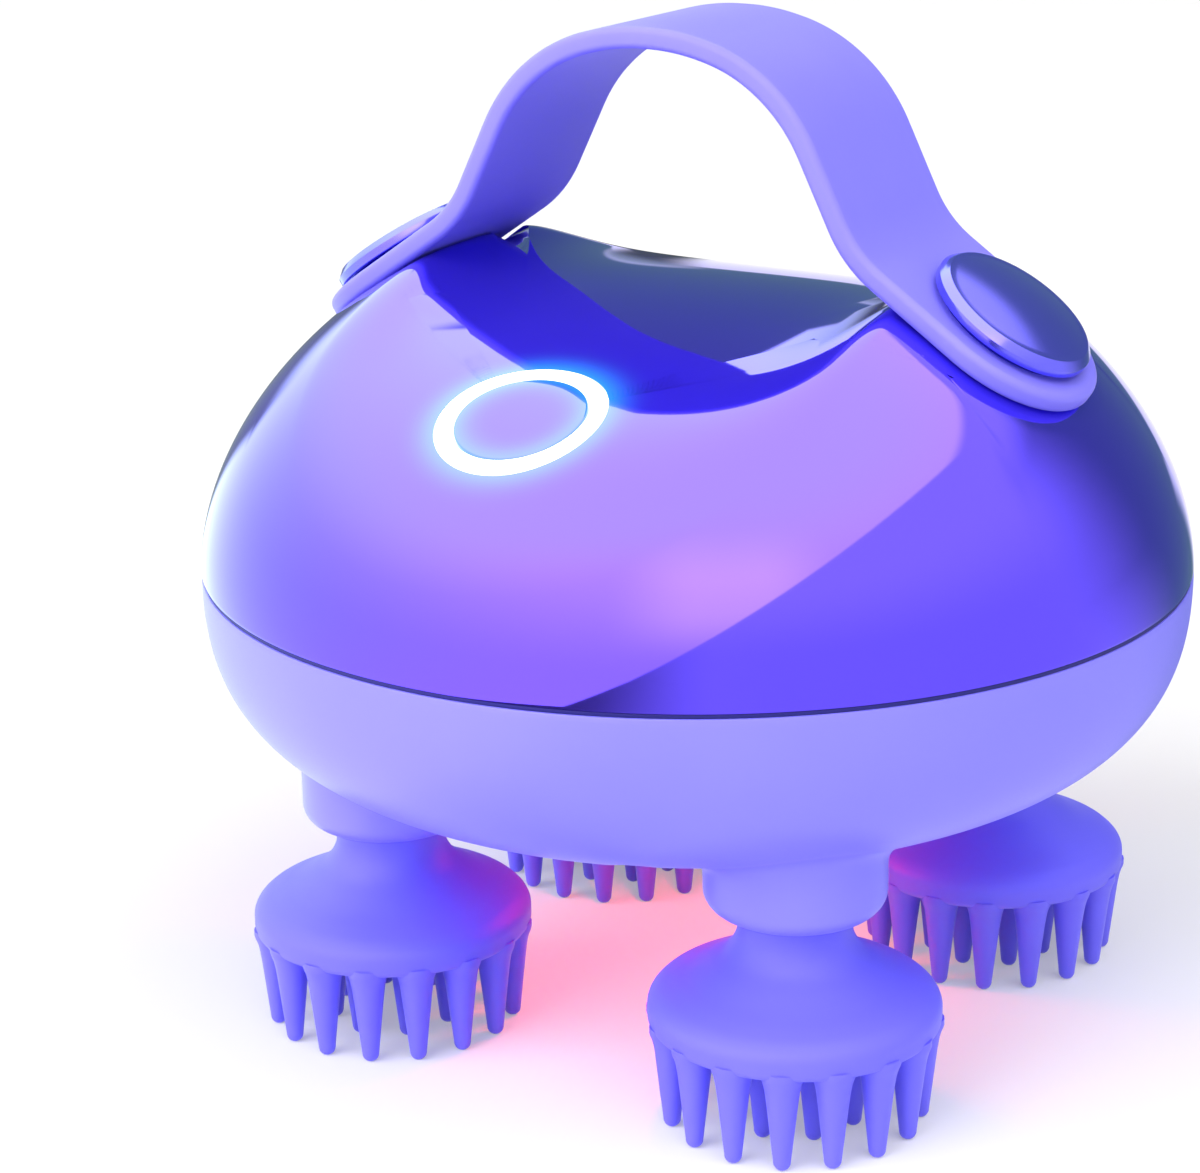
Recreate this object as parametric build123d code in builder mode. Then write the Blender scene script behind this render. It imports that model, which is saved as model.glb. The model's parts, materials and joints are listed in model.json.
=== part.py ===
from build123d import *
from math import acos, asin, atan2, cos, degrees, hypot, pi, radians, sin, sqrt, tan
import os

# Palm-held electric scalp massager: a round two-part case, a silicone hand strap across its top and
# four bristle heads that a small motor turns through a gear train.
# Millimetres. +Z is up, the floor is z = 0 at the bristle tips, -Y is the front with the power button,
# and the strap runs along X. The origin is under the middle of the case.

# ---------------------------------------------------------------- driving dimensions: heights
bristle_length = 11.2
head_height = 13.1            # underside of the bristle pad to the top of the neck
neck_gap = 0.5                # running gap between a neck and its collar
collar_drop = 30.0            # bottom of a collar below the seam
pad_z = bristle_length
neck_z = pad_z + head_height
collar_z = neck_z + neck_gap
seam_z = collar_z + collar_drop

# ---------------------------------------------------------------- case
body_radius = 58.0
bowl_depth = 25.9
bowl_side_power = 4.0         # superellipse powers: higher is squarer
bowl_floor_power = 2.65
dome_height = 42.2
dome_side_power = 1.95
dome_top_power = 1.82
wall = 2.3
seam_gap = 0.5                # filled by the seam gasket
gasket_inset = 0.15
lip_height = 3.0
lip_wall = 1.3
lip_clearance = 0.15

# ---------------------------------------------------------------- saddle in the top of the dome
saddle_floor = 32.0           # middle of the saddle above the seam
saddle_bend = 103.0           # radius of the saddle from front to back
shoulder_inset = 28.4         # where the saddle meets the dome under the strap, inside the case's side
shoulder_height = 35.0        # above the seam
saddle_power = 6.0
saddle_reach = 1.5            # how far the saddle's section runs to each side, in shoulder_x
flat_reach = 4.0              # side of a flat under a strap end, in pad radii

# ---------------------------------------------------------------- strap and its caps
strap_width = 24.0
strap_thickness = 2.5
strap_apex = 60.2             # underside of the strap above the seam, in the middle
crown_turn = 14.0             # degrees that the strap turns at its crown, then at its haunch and its knee
haunch_turn = 49.7
haunch_round = 18.4
knee_round = 15.5
knee_reach = -6.2             # shoulder to the knee's corner along the slope; negative is above it
strap_run = 0.6               # straight stretch of the strap between two bends
pad_slope = 34.5              # degrees that the strap's ends lean outwards from level
pad_radius = 12.0
pad_reach = 9.7               # shoulder to the middle of a pad, along the slope
cap_radius = 9.7
cap_thickness = 2.2
cap_bevel = 0.7
cap_ring_radius = 8.6
cap_ring_thickness = 0.7
cap_boss_radius = 4.0
cap_screw_radius = 1.2
cap_screw_head_radius = 5.2
cap_screw_head_height = 1.3
cap_screw_depth = 1.2         # how far the screw goes into the cap's disc

# ---------------------------------------------------------------- power button
button_inset = 20.0           # middle of the button inside the case's side
ring_radius = 9.5
button_radius = 7.3
button_clearance = 0.2
button_travel = 0.8
button_proud = 0.1
spring_radius = 4.6
spring_wire = 0.2
spring_turns = 4
ring_flange = 1.4
ring_flange_thickness = 0.8
ring_seat_depth = 2.6         # top of the light ring's flange below the saddle surface
housing_depth = 8.0           # end of the button housing below the saddle surface
housing_wall = 3.0
button_flange = 0.9
button_flange_thickness = 0.9
stem_radius = 1.5
board_thickness = 1.2
switch_side = 5.2
switch_height = 1.6
led_side = 1.8
led_height = 0.8
ring_led_count = 6
board_screw_count = 3
board_screw_start = 90.0
board_screw_length = 4.0

# ---------------------------------------------------------------- fits
running_fit = 0.05            # a shaft in a hole that it turns in
snug_fit = 0.01               # a piece that is pushed or screwed home
part_gap = 0.3                # between neighbours that stay clear of each other
end_play = 0.1                # between a gear's hub and the boss under it

# ---------------------------------------------------------------- gears
pressure_angle = radians(20)
tooth_addendum = 0.9          # in modules
tooth_dedendum = 1.2
tooth_play = 0.1              # taken off each tooth's thickness at the pitch circle
coarse_module = 0.8
fine_module = 0.5
drive_teeth = 40
output_teeth = 31
pinion_teeth = 14
wheel_teeth = 48
coarse_face = 3.5             # width of the coarse gears
fine_face = 2.0
head_x = 27.0                 # heads left and right of the middle
second_stage_bearing = -50.0  # degrees, seen from the left drive gear
first_stage_bearing = 30.0    # degrees, seen from the second stage
motor_bearing = 150.0         # degrees, seen from the first stage

# ---------------------------------------------------------------- gearbox
gear_floor_gap = 8.7          # inside floor of the case to the coarse gears
plate_thickness = 1.5
plate_gap = 0.5
plate_length = 80.0
plate_width = 73.0
plate_corner = 14.0
stage_gap = 0.4
hub_radius = 4.5
hub_height = 0.7
axle_radius = 2.0
second_shaft_radius = 1.5
first_pin_radius = 1.0
boss_wall = 2.5
axle_socket = 6.0
plate_post_radius = 3.2
plate_post_x = 36.5
plate_post_y = 33.0
cover_size = (47.0, 43.0)
cover_centre = (0.5, -9.5)
cover_corner = 5.0
cover_post_inset = 4.0
cover_post_radius = 2.6
small_screw_radius = 0.9
small_screw_head_radius = 1.8
small_screw_head_height = 1.1
small_screw_length = 6.0

# ---------------------------------------------------------------- heads
rim_radius = 16.4
rim_height = 2.2
rim_top_radius = 15.2
rim_top_height = 4.8          # above the underside of the pad
waist_radius = 7.4
waist_height = 10.2
neck_radius = 6.5
pad_floor = 1.5               # silicone under the core's disc
core_disc_radius = 13.0
core_disc_thickness = 2.4
core_hub_radius = 4.8
shaft_radius = 2.0
shaft_in_core = 9.0
bristle_root_radius = 2.1
bristle_root = 1.0            # how far a bristle reaches into its pad
bristle_tip_radius = 1.0
bristle_tip_round = 0.5
outer_bristles = 16
inner_bristles = 8
outer_bristle_circle = 14.15
inner_bristle_circle = 7.4
collar_radius = 10.2
collar_round = 2.4
collar_flare = 1.6            # fillet between a collar and the bowl
collar_root = 0.4             # top of a collar above the bowl's outside at the collar's far side
bush_radius = 3.6
bush_flange_radius = 5.0
bush_flange_thickness = 1.0
seal_radius = 5.0
seal_thickness = 2.5

# ---------------------------------------------------------------- motor
motor_radius = 10.0
motor_length = 18.0
motor_can_wall = 0.8
motor_nose_radius = 3.0
motor_nose_height = 1.0
motor_cap_height = 2.4
magnet_thickness = 1.9
magnet_arc = 130.0
motor_shaft_radius = 1.0
armature_radius = 6.6
armature_length = 10.0
armature_slots = 3
armature_slot_width = 2.2
commutator_radius = 2.6
commutator_length = 3.6
terminal_size = (0.4, 2.0, 1.8)
terminal_spread = 6.0
motor_screw_spread = 6.5

# ---------------------------------------------------------------- battery and boards
battery_radius = 9.2
battery_length = 65.0
battery_inset = 34.0          # middle of the battery inside the case's side
battery_button_radius = 3.0
battery_button_height = 1.0
holder_wall = 1.6
holder_screw = (12.0, 13.8)
board_lift = 1.5              # battery to the main board
holder_post_radius = 1.8
cradle_x = 20.0
cradle_length = 4.0
cradle_height = 5.0
pcb_length = 57.0
pcb_width = 25.0
pcb_thickness = 1.2
pcb_tongue_width = 18.0
socket_width = 9.0
socket_height = 3.2
socket_length = 7.4
socket_wall = 0.35
socket_corner = 1.3
plug_clearance = 0.3
plug_flange = 2.6
plug_tongue_length = 3.0
plug_corner = 2.5
port_depth = 10.5             # bottom of the charging port's pocket inside the case's side
chip_size = (7.0, 7.0, 1.0)
coil_size = (5.0, 5.0, 2.4)
capacitor_radius = 2.0
capacitor_height = 4.0
capacitor_pitch = 5.0
component_spread = 14.0

# ---------------------------------------------------------------- red light in the floor
lens_radius = 7.0
lens_flange = 1.2
lens_flange_thickness = 1.0
lens_gap = 0.1
light_board_height = 2.4      # inside floor of the case to the underside of the light board
light_board_radius = 10.9
light_led_circle = 4.0
light_led_count = 5
light_foot_radius = 1.2
light_foot_circle = 9.6
light_foot_count = 3
light_foot_start = 90.0

# ---------------------------------------------------------------- case screws
case_post_radius = 3.2
case_screw_radius = 1.25
case_screw_head_radius = 2.4
case_screw_head_height = 1.8
case_screw_recess = 7.0       # seat of the screw heads above the lowest point of the case
case_screw_grip = 6.0         # above the seam
side_post_inset = 14.0        # middles of the posts inside the case's side
corner_post_inset = 16.0
corner_post_x = 16.0
screw_slot_length = 1.2       # in head radii
screw_slot_width = 0.3

# ---------------------------------------------------------------- wires
wire_radius = 0.6
wire_rise = 3.0               # a motor lead's height above its terminal
wire_inset = 4.0              # end of a lead inside the edge of the main board
wire_bend = 1.35

# ---------------------------------------------------------------- worked out: gear train
drive_pitch = coarse_module * drive_teeth / 2
output_pitch = coarse_module * output_teeth / 2
pinion_pitch = coarse_module * pinion_teeth / 2
wheel_pitch = fine_module * wheel_teeth / 2
fine_pinion_pitch = fine_module * pinion_teeth / 2
drive_x = drive_pitch
head_y = sqrt((drive_pitch + output_pitch) ** 2 - (head_x - drive_x) ** 2)

floor_z = seam_z - bowl_depth + wall
coarse_z = floor_z + gear_floor_gap
plate_z = coarse_z + coarse_face + plate_gap
second_wheel_z = plate_z + plate_thickness + plate_gap
first_wheel_z = second_wheel_z + fine_face + stage_gap
cover_z = first_wheel_z + fine_face + plate_gap
motor_z = cover_z + plate_thickness
hub_z = coarse_z - hub_height


def polar(origin, radius, bearing):
    """The point at a distance and a bearing in degrees from another."""
    return origin[0] + radius * cos(radians(bearing)), origin[1] + radius * sin(radians(bearing))


left_drive = (-drive_x, 0.0)
right_drive = (drive_x, 0.0)
second_stage = polar(left_drive, drive_pitch + pinion_pitch, second_stage_bearing)
first_stage = polar(second_stage, wheel_pitch + fine_pinion_pitch, first_stage_bearing)
motor = polar(first_stage, wheel_pitch + fine_pinion_pitch, motor_bearing)
heads = {
    "front_left": (-head_x, -head_y),
    "front_right": (head_x, -head_y),
    "rear_left": (-head_x, head_y),
    "rear_right": (head_x, head_y),
}

# ---------------------------------------------------------------- worked out: case
button_y = button_inset - body_radius
port_y = body_radius - port_depth
battery_y = body_radius - battery_inset
side_post_x = body_radius - side_post_inset
corner_post_y = body_radius - corner_post_inset
shoulder_x = body_radius - shoulder_inset
shoulder_z = seam_z + shoulder_height
case_posts = [(side * side_post_x, 0.0) for side in (-1, 1)]
case_posts += [(side * corner_post_x, end * corner_post_y) for side in (-1, 1) for end in (-1, 1)]
lip_outside = body_radius - wall - lip_clearance
collar_far = (hypot(head_x, head_y) + collar_radius) / body_radius
bowl_at_collar = bowl_depth * (1 - collar_far**bowl_side_power) ** (1 / bowl_floor_power)
collar_top_z = seam_z - bowl_at_collar + collar_root
plate_posts = [(-plate_post_x, 0.0), (plate_post_x, 0.0), (0.0, -plate_post_y), (0.0, plate_post_y)]
case_bottom_z = seam_z - bowl_depth
screw_seat_z = case_bottom_z + case_screw_recess

saddle_axis = Axis((0, 0, seam_z + saddle_floor - saddle_bend), (1, 0, 0))
button_tilt = degrees(asin(-button_y / saddle_bend))
button_origin = (0, button_y, saddle_axis.position.Z + saddle_bend * cos(radians(button_tilt)))
button_plane = Plane(
    origin=button_origin,
    x_dir=(1, 0, 0),
    z_dir=(0, -sin(radians(button_tilt)), cos(radians(button_tilt))),
)


def pad_plane(side, reach=pad_reach):
    """The plane that a strap end lies on, its origin at a distance down the slope from the shoulder."""
    slope = radians(pad_slope)
    return Plane(
        origin=(
            side * (shoulder_x + reach * cos(slope)),
            0,
            seam_z + shoulder_height - reach * sin(slope),
        ),
        x_dir=(side * cos(slope), 0, -sin(slope)),
        z_dir=(side * sin(slope), 0, cos(slope)),
    )


# ---------------------------------------------------------------- worked out: bearings, button, boards
boss_top_z = hub_z - end_play
bush_seat_z = boss_top_z - bush_flange_thickness
housing_bore = ring_radius + ring_flange + button_clearance
housing_radius = housing_bore + housing_wall
stem_end = part_gap + button_travel + part_gap - housing_depth
board_screw_circle = housing_bore + housing_wall / 2
cover_posts = [
    (
        cover_centre[0] + side * (cover_size[0] / 2 - cover_post_inset),
        cover_centre[1] + end * (cover_size[1] / 2 - cover_post_inset),
    )
    for side in (-1, 1)
    for end in (-1, 1)
]
motor_screws = [polar(motor, motor_screw_spread, motor_bearing + turn) for turn in (-90, 90)]
holder_screws = [(side * holder_screw[0], holder_screw[1]) for side in (-1, 1)]
holder_z = plate_z + plate_thickness
battery_z = holder_z + holder_wall + battery_radius + snug_fit
end_wall_x = (battery_length + holder_wall) / 2 + snug_fit
pcb_z = battery_z + battery_radius + board_lift
socket_z = pcb_z + pcb_thickness + socket_height / 2
plug_length = socket_width + 2 * plug_flange
plug_height = socket_height + 2 * plug_flange
port_plane = Plane(origin=(0, port_y, socket_z), x_dir=(-1, 0, 0), z_dir=(0, 1, 0))

# ---------------------------------------------------------------- outlines
curve_steps = 9


def superellipse(radius, height, side_power, top_power):
    """Points of a quarter superellipse from (radius, 0) to (0, height)."""
    angles = [pi / 2 * step / curve_steps for step in range(1, curve_steps)]
    points = [(radius * cos(a) ** (2 / side_power), height * sin(a) ** (2 / top_power)) for a in angles]
    return [(radius, 0.0)] + points + [(0.0, height)]


def case_profile(radius, height, side_power, top_power, sign):
    """Half section of a dome (sign 1) or a bowl (sign -1) in the XZ plane, closed along the axis."""
    quarter = superellipse(radius, height, side_power, top_power)
    points = [(x, seam_z + sign * z) for x, z in quarter]
    with BuildLine() as outline:
        Spline(*points, tangents=[(0, sign), (-1, 0)])
        Polyline(points[-1], (0, seam_z), points[0])
    make_face(outline.edges())


def saddle_height(x):
    """Height of the saddle above the seam across its middle."""
    return saddle_floor + (shoulder_height - saddle_floor) * abs(x / shoulder_x) ** saddle_power


def cut_saddle(depth):
    """Cuts away everything above the saddle surface, lowered by a depth."""
    reach = saddle_reach * shoulder_x
    stations = [reach * step / curve_steps for step in range(-curve_steps, curve_steps + 1)]
    points = [(x, seam_z + saddle_height(x) - depth) for x in stations]
    top = seam_z + 2 * saddle_height(reach)
    with BuildSketch(Plane.XZ) as section:
        with BuildLine():
            Spline(*points)
            Polyline(points[-1], (reach, top), (-reach, top), points[0])
        make_face()
    revolve(section.sketch, axis=saddle_axis, mode=Mode.SUBTRACT)


def cut_pad_flats(depth):
    """Cuts the dome flat under the strap's ends, lowered by a depth."""
    for side in (-1, 1):
        with BuildSketch(pad_plane(side).offset(-depth)) as flat:
            Rectangle(flat_reach * pad_radius, flat_reach * pad_radius)
        extrude(flat.sketch, amount=dome_height, mode=Mode.SUBTRACT)


def cross_slot(head_radius):
    """The cross in a screw's head."""
    Rectangle(screw_slot_length * head_radius, screw_slot_width * head_radius)
    Rectangle(screw_slot_width * head_radius, screw_slot_length * head_radius)


def gear_outline(teeth, module, phase):
    """A spur gear's outline with straight stretches along its involutes, turned by a phase in degrees."""
    pitch = module * teeth / 2
    base = pitch * cos(pressure_angle)
    radii = [pitch - tooth_dedendum * module, pitch, pitch + tooth_addendum * module]
    half_at_pitch = (pi * module / 2 - tooth_play) / (2 * pitch) + tan(pressure_angle) - pressure_angle
    flank = []
    for radius in radii:
        slope = acos(min(1, base / radius))
        flank.append((radius, half_at_pitch - tan(slope) + slope))
    points = []
    for tooth in range(teeth):
        middle = radians(phase) + 2 * pi * tooth / teeth
        points += [(r * cos(middle - half), r * sin(middle - half)) for r, half in flank]
        points += [(r * cos(middle + half), r * sin(middle + half)) for r, half in reversed(flank)]
    Polygon(*points, align=None)


def meshed(phase, teeth, bearing, other_teeth):
    """The phase at which a gear meshes with one of a known phase, seen at a bearing from it."""
    offset = (phase - bearing) / (360 / teeth)
    return bearing + 180 + (0.5 - offset) * 360 / other_teeth


def bearing_of(origin, target):
    """Bearing in degrees of one point from another."""
    return degrees(atan2(target[1] - origin[1], target[0] - origin[0]))


left_phase = 0.0
right_phase = meshed(left_phase, drive_teeth, bearing_of(left_drive, right_drive), drive_teeth)
second_pinion_phase = meshed(left_phase, drive_teeth, second_stage_bearing, pinion_teeth)
second_wheel_phase = 0.0
first_pinion_phase = meshed(second_wheel_phase, wheel_teeth, first_stage_bearing, pinion_teeth)
first_wheel_phase = 0.0
motor_pinion_phase = meshed(first_wheel_phase, wheel_teeth, motor_bearing, pinion_teeth)

os.makedirs("parts", exist_ok=True)

# ================================================================ case
with BuildPart() as dome_form:
    with BuildSketch(Plane.XZ):
        case_profile(body_radius, dome_height, dome_side_power, dome_top_power, 1)
    revolve()
    cut_saddle(0)
    cut_pad_flats(0)
    with BuildSketch(Plane.XY.offset(seam_z)):
        Circle(body_radius + wall)
    extrude(amount=seam_gap / 2, mode=Mode.SUBTRACT)

with BuildPart() as dome_inside:
    with BuildSketch(Plane.XZ):
        case_profile(body_radius - wall, dome_height - wall, dome_side_power, dome_top_power, 1)
    revolve()
    cut_saddle(wall)
    cut_pad_flats(wall)

with BuildPart() as bowl_form:
    with BuildSketch(Plane.XZ):
        case_profile(body_radius, bowl_depth, bowl_side_power, bowl_floor_power, -1)
    revolve()
    with BuildSketch(Plane.XY.offset(seam_z)):
        Circle(body_radius + wall)
    extrude(amount=-seam_gap / 2, mode=Mode.SUBTRACT)

with BuildPart() as bowl_inside:
    with BuildSketch(Plane.XZ):
        case_profile(body_radius - wall, bowl_depth - wall, bowl_side_power, bowl_floor_power, -1)
    revolve()

# The housing that hangs under the saddle around the power button, trimmed to the case's outside.
with BuildPart() as button_housing:
    with BuildSketch(button_plane.offset(-housing_depth)):
        Circle(housing_radius)
    extrude(amount=housing_depth)
    add(dome_form.part, mode=Mode.INTERSECT)

with BuildPart() as upper_posts:
    with BuildSketch(Plane.XY.offset(seam_z + seam_gap / 2)):
        with Locations(*case_posts):
            Circle(case_post_radius)
    extrude(amount=dome_height)
    add(dome_form.part, mode=Mode.INTERSECT)

# The block behind the charging port, trimmed the same way.
with BuildPart() as port_block:
    with BuildSketch(port_plane.offset(-wall)):
        Rectangle(plug_length + 2 * wall, plug_height + 2 * wall)
    extrude(amount=body_radius)
    add(dome_form.part, mode=Mode.INTERSECT)

with BuildPart() as upper_shell:
    add(dome_form.part)
    add(dome_inside.part, mode=Mode.SUBTRACT)
    add(button_housing.part)
    add(upper_posts.part)
    add(port_block.part)
    # the lip that drops inside the lower shell
    with BuildSketch(Plane.XZ):
        with BuildLine():
            Polyline(
                (lip_outside, seam_z - lip_height),
                (lip_outside, seam_z + seam_gap / 2),
                (body_radius - wall / 2, seam_z + seam_gap / 2),
                (body_radius - wall, seam_z + lip_height),
                (lip_outside - lip_wall, seam_z + lip_height),
                (lip_outside - lip_wall, seam_z - lip_height),
                close=True,
            )
        make_face()
    revolve()
    # light ring, its seat and the room for the button
    with BuildSketch(button_plane.offset(dome_height)):
        Circle(ring_radius + snug_fit)
    extrude(amount=-dome_height - housing_depth, mode=Mode.SUBTRACT)
    with BuildSketch(button_plane.offset(-ring_seat_depth)):
        Circle(housing_bore)
    extrude(amount=-housing_depth, mode=Mode.SUBTRACT)
    with BuildSketch(button_plane.offset(-housing_depth)):
        with PolarLocations(board_screw_circle, board_screw_count, board_screw_start):
            Circle(small_screw_radius + snug_fit)
    extrude(amount=board_screw_length - board_thickness + part_gap, mode=Mode.SUBTRACT)
    # charging port: a pocket for the plug and a window for the socket
    with BuildSketch(port_plane):
        RectangleRounded(plug_length, plug_height, plug_corner)
    extrude(amount=body_radius, mode=Mode.SUBTRACT)
    with BuildSketch(port_plane.offset(-wall)):
        RectangleRounded(
            socket_width + 2 * part_gap, socket_height + 2 * part_gap, socket_corner + part_gap
        )
    extrude(amount=wall, mode=Mode.SUBTRACT)
    # screw holes of the case and of the strap caps
    with BuildSketch(Plane.XY.offset(seam_z + seam_gap / 2)):
        with Locations(*case_posts):
            Circle(case_screw_radius + snug_fit)
    extrude(amount=case_screw_grip, mode=Mode.SUBTRACT)
    for side in (-1, 1):
        with BuildSketch(pad_plane(side)):
            Circle(cap_boss_radius + snug_fit)
        extrude(amount=-wall - part_gap, mode=Mode.SUBTRACT)
upper_shell.part.label = "upper_shell"
export_step(upper_shell.part, "parts/upper_shell.step")

with BuildPart() as seam_gasket:
    with BuildSketch(Plane.XY.offset(seam_z - seam_gap / 2)):
        Circle(body_radius - gasket_inset)
        Circle(body_radius - wall, mode=Mode.SUBTRACT)
    extrude(amount=seam_gap)
seam_gasket.part.label = "seam_gasket"
export_step(seam_gasket.part, "parts/seam_gasket.step")

with BuildPart() as lower_posts:
    with BuildSketch(Plane.XY.offset(case_bottom_z)):
        with Locations(*case_posts):
            Circle(case_post_radius)
    extrude(amount=bowl_depth - seam_gap / 2)
    with BuildSketch(Plane.XY.offset(case_bottom_z)):
        with Locations(*plate_posts):
            Circle(plate_post_radius)
    extrude(amount=plate_z - case_bottom_z)
    add(bowl_form.part, mode=Mode.INTERSECT)
    with BuildSketch(Plane.XY.offset(seam_z - seam_gap / 2)):
        with Locations(*case_posts):
            Circle(case_post_radius)
    extrude(amount=seam_gap)

# The bowl, still solid, with the collars round the necks of the heads, flared at the top and rounded
# at the bottom.
with BuildPart() as collared_bowl:
    add(bowl_form.part)
    with BuildSketch(Plane.XY.offset(collar_z)):
        with Locations(*heads.values()):
            Circle(collar_radius)
    extrude(amount=collar_top_z - collar_z)
    closed_curves = collared_bowl.edges().filter_by(GeomType.BSPLINE).filter_by(lambda edge: edge.is_closed)
    fillet(closed_curves.filter_by_position(Axis.Z, collar_z, collar_top_z), collar_flare)
    collar_rims = collared_bowl.edges().filter_by(GeomType.CIRCLE).group_by(Axis.Z)[0]
    fillet(collar_rims, collar_round)

with BuildPart() as lower_shell:
    add(collared_bowl.part)
    add(bowl_inside.part, mode=Mode.SUBTRACT)
    add(lower_posts.part)
    # bosses for the bushes, the axles and the second stage, and posts for the gear plate
    with BuildSketch(Plane.XY.offset(floor_z)):
        with Locations(*heads.values()):
            Circle(bush_radius + boss_wall)
    extrude(amount=bush_seat_z - floor_z)
    with BuildSketch(Plane.XY.offset(floor_z - wall / 2)):
        with Locations(left_drive, right_drive):
            Circle(axle_radius + boss_wall)
        with Locations(second_stage):
            Circle(second_shaft_radius + boss_wall)
    extrude(amount=boss_top_z - floor_z + wall / 2)
    with BuildSketch(Plane.XY.offset(floor_z - wall / 2)):
        with PolarLocations(light_foot_circle, light_foot_count, light_foot_start):
            Circle(light_foot_radius)
    extrude(amount=light_board_height + wall / 2)
    # bores for the shafts, bushes and seals
    with BuildSketch(Plane.XY.offset(collar_z)):
        with Locations(*heads.values()):
            Circle(seal_radius + snug_fit)
    extrude(amount=seal_thickness, mode=Mode.SUBTRACT)
    with BuildSketch(Plane.XY.offset(collar_z)):
        with Locations(*heads.values()):
            Circle(bush_radius + snug_fit)
    extrude(amount=bush_seat_z - collar_z, mode=Mode.SUBTRACT)
    with BuildSketch(Plane.XY.offset(boss_top_z)):
        with Locations(left_drive, right_drive):
            Circle(axle_radius + snug_fit)
        with Locations(second_stage):
            Circle(second_shaft_radius + running_fit)
    extrude(amount=-axle_socket, mode=Mode.SUBTRACT)
    with BuildSketch(Plane.XY.offset(plate_z)):
        with Locations(*plate_posts):
            Circle(small_screw_radius + snug_fit)
    extrude(amount=-small_screw_length, mode=Mode.SUBTRACT)
    # window for the red lens
    with BuildSketch(Plane.XY.offset(case_bottom_z)):
        Circle(lens_radius + lens_gap)
    extrude(amount=2 * wall, mode=Mode.SUBTRACT)
    # holes and recesses for the case screws
    with BuildSketch(Plane.XY.offset(case_bottom_z)):
        with Locations(*case_posts):
            Circle(case_screw_head_radius + part_gap)
    extrude(amount=screw_seat_z - case_bottom_z, mode=Mode.SUBTRACT)
    with BuildSketch(Plane.XY.offset(screw_seat_z)):
        with Locations(*case_posts):
            Circle(case_screw_radius + part_gap / 2)
    extrude(amount=bowl_depth, mode=Mode.SUBTRACT)
lower_shell.part.label = "lower_shell"
export_step(lower_shell.part, "parts/lower_shell.step")

with BuildPart() as case_screws:
    with BuildSketch(Plane.XY.offset(screw_seat_z - case_screw_head_height)):
        with Locations(*case_posts):
            Circle(case_screw_head_radius)
    extrude(amount=case_screw_head_height)
    with BuildSketch(Plane.XY.offset(screw_seat_z)):
        with Locations(*case_posts):
            Circle(case_screw_radius)
    extrude(amount=seam_z + case_screw_grip - screw_seat_z)
    with BuildSketch(Plane.XY.offset(screw_seat_z - case_screw_head_height)):
        with Locations(*case_posts):
            cross_slot(case_screw_head_radius)
    extrude(amount=case_screw_head_height / 2, mode=Mode.SUBTRACT)
case_screws.part.label = "case_screws"
export_step(case_screws.part, "parts/case_screws.step")

# ================================================================ strap
# The middle of the strap's underside, as straight runs rounded at crown, haunch and knee. The knee's
# corner lies on the slope of the flat, and the crown's rounding fills what is left between the legs.
apex_z = seam_z + strap_apex
pad_angle = radians(pad_slope)
crown_angle = radians(crown_turn)
leg_angle = radians(crown_turn + haunch_turn)
knee = (shoulder_x + knee_reach * cos(pad_angle), shoulder_z - knee_reach * sin(pad_angle))
haunch_half = haunch_round * tan(radians(haunch_turn / 2)) + strap_run / 2
spread = cos(crown_angle) - sin(crown_angle) / tan(leg_angle)
leg_span = (apex_z - knee[1]) / tan(leg_angle)
crown_half = (knee[0] - leg_span - haunch_half * spread) / (1 + spread)
crown_round = (crown_half - strap_run / 2) / tan(crown_angle / 2)
haunch = polar((crown_half, apex_z), crown_half + haunch_half, -crown_turn)
pad_middle = (shoulder_x + pad_reach * cos(pad_angle), shoulder_z - pad_reach * sin(pad_angle))
right_side = [(crown_half, apex_z), haunch, knee, pad_middle]
left_side = [(-x, z) for x, z in reversed(right_side)]

with BuildPart() as strap:
    with BuildSketch(Plane.XZ.offset(strap_width / 2)):
        with BuildLine():
            underside = FilletPolyline(
                *left_side,
                *right_side,
                radius=[knee_round, haunch_round, crown_round, crown_round, haunch_round, knee_round],
            )
            offset(underside, amount=strap_thickness, side=Side.LEFT)
        make_face()
    extrude(amount=-strap_width)
    # the strip ends under the middles of two round pads, each with a hole for the cap's boss
    for side in (-1, 1):
        with BuildSketch(pad_plane(side)) as pad:
            Circle(pad_radius)
        extrude(pad.sketch, amount=strap_thickness)
        with BuildSketch(pad_plane(side)) as hole:
            Circle(cap_boss_radius + snug_fit)
        extrude(hole.sketch, amount=strap_thickness, mode=Mode.SUBTRACT)
strap.part.label = "strap"
export_step(strap.part, "parts/strap.step")

sides = {"left": -1, "right": 1}

with BuildPart() as cap_rings:
    for side in sides.values():
        with BuildSketch(pad_plane(side).offset(strap_thickness)):
            Circle(cap_ring_radius)
            Circle(cap_boss_radius + snug_fit, mode=Mode.SUBTRACT)
        extrude(amount=cap_ring_thickness)
cap_rings.part.label = "cap_rings"
export_step(cap_rings.part, "parts/cap_rings.step")

cap_seat = strap_thickness + cap_ring_thickness
for name, side in sides.items():
    with BuildPart() as strap_cap:
        with BuildSketch(pad_plane(side).offset(cap_seat)):
            Circle(cap_radius)
        extrude(amount=cap_thickness)
        face_rim = strap_cap.edges().filter_by(GeomType.CIRCLE).sort_by(Axis.Z)[-1]
        chamfer(face_rim, cap_bevel)
        with BuildSketch(pad_plane(side).offset(-wall)):
            Circle(cap_boss_radius)
        extrude(amount=cap_seat + wall)
        with BuildSketch(pad_plane(side).offset(-wall)):
            Circle(cap_screw_radius + snug_fit)
        extrude(amount=wall + cap_seat + cap_screw_depth, mode=Mode.SUBTRACT)
    strap_cap.part.label = f"strap_cap_{name}"
    export_step(strap_cap.part, f"parts/strap_cap_{name}.step")

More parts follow.
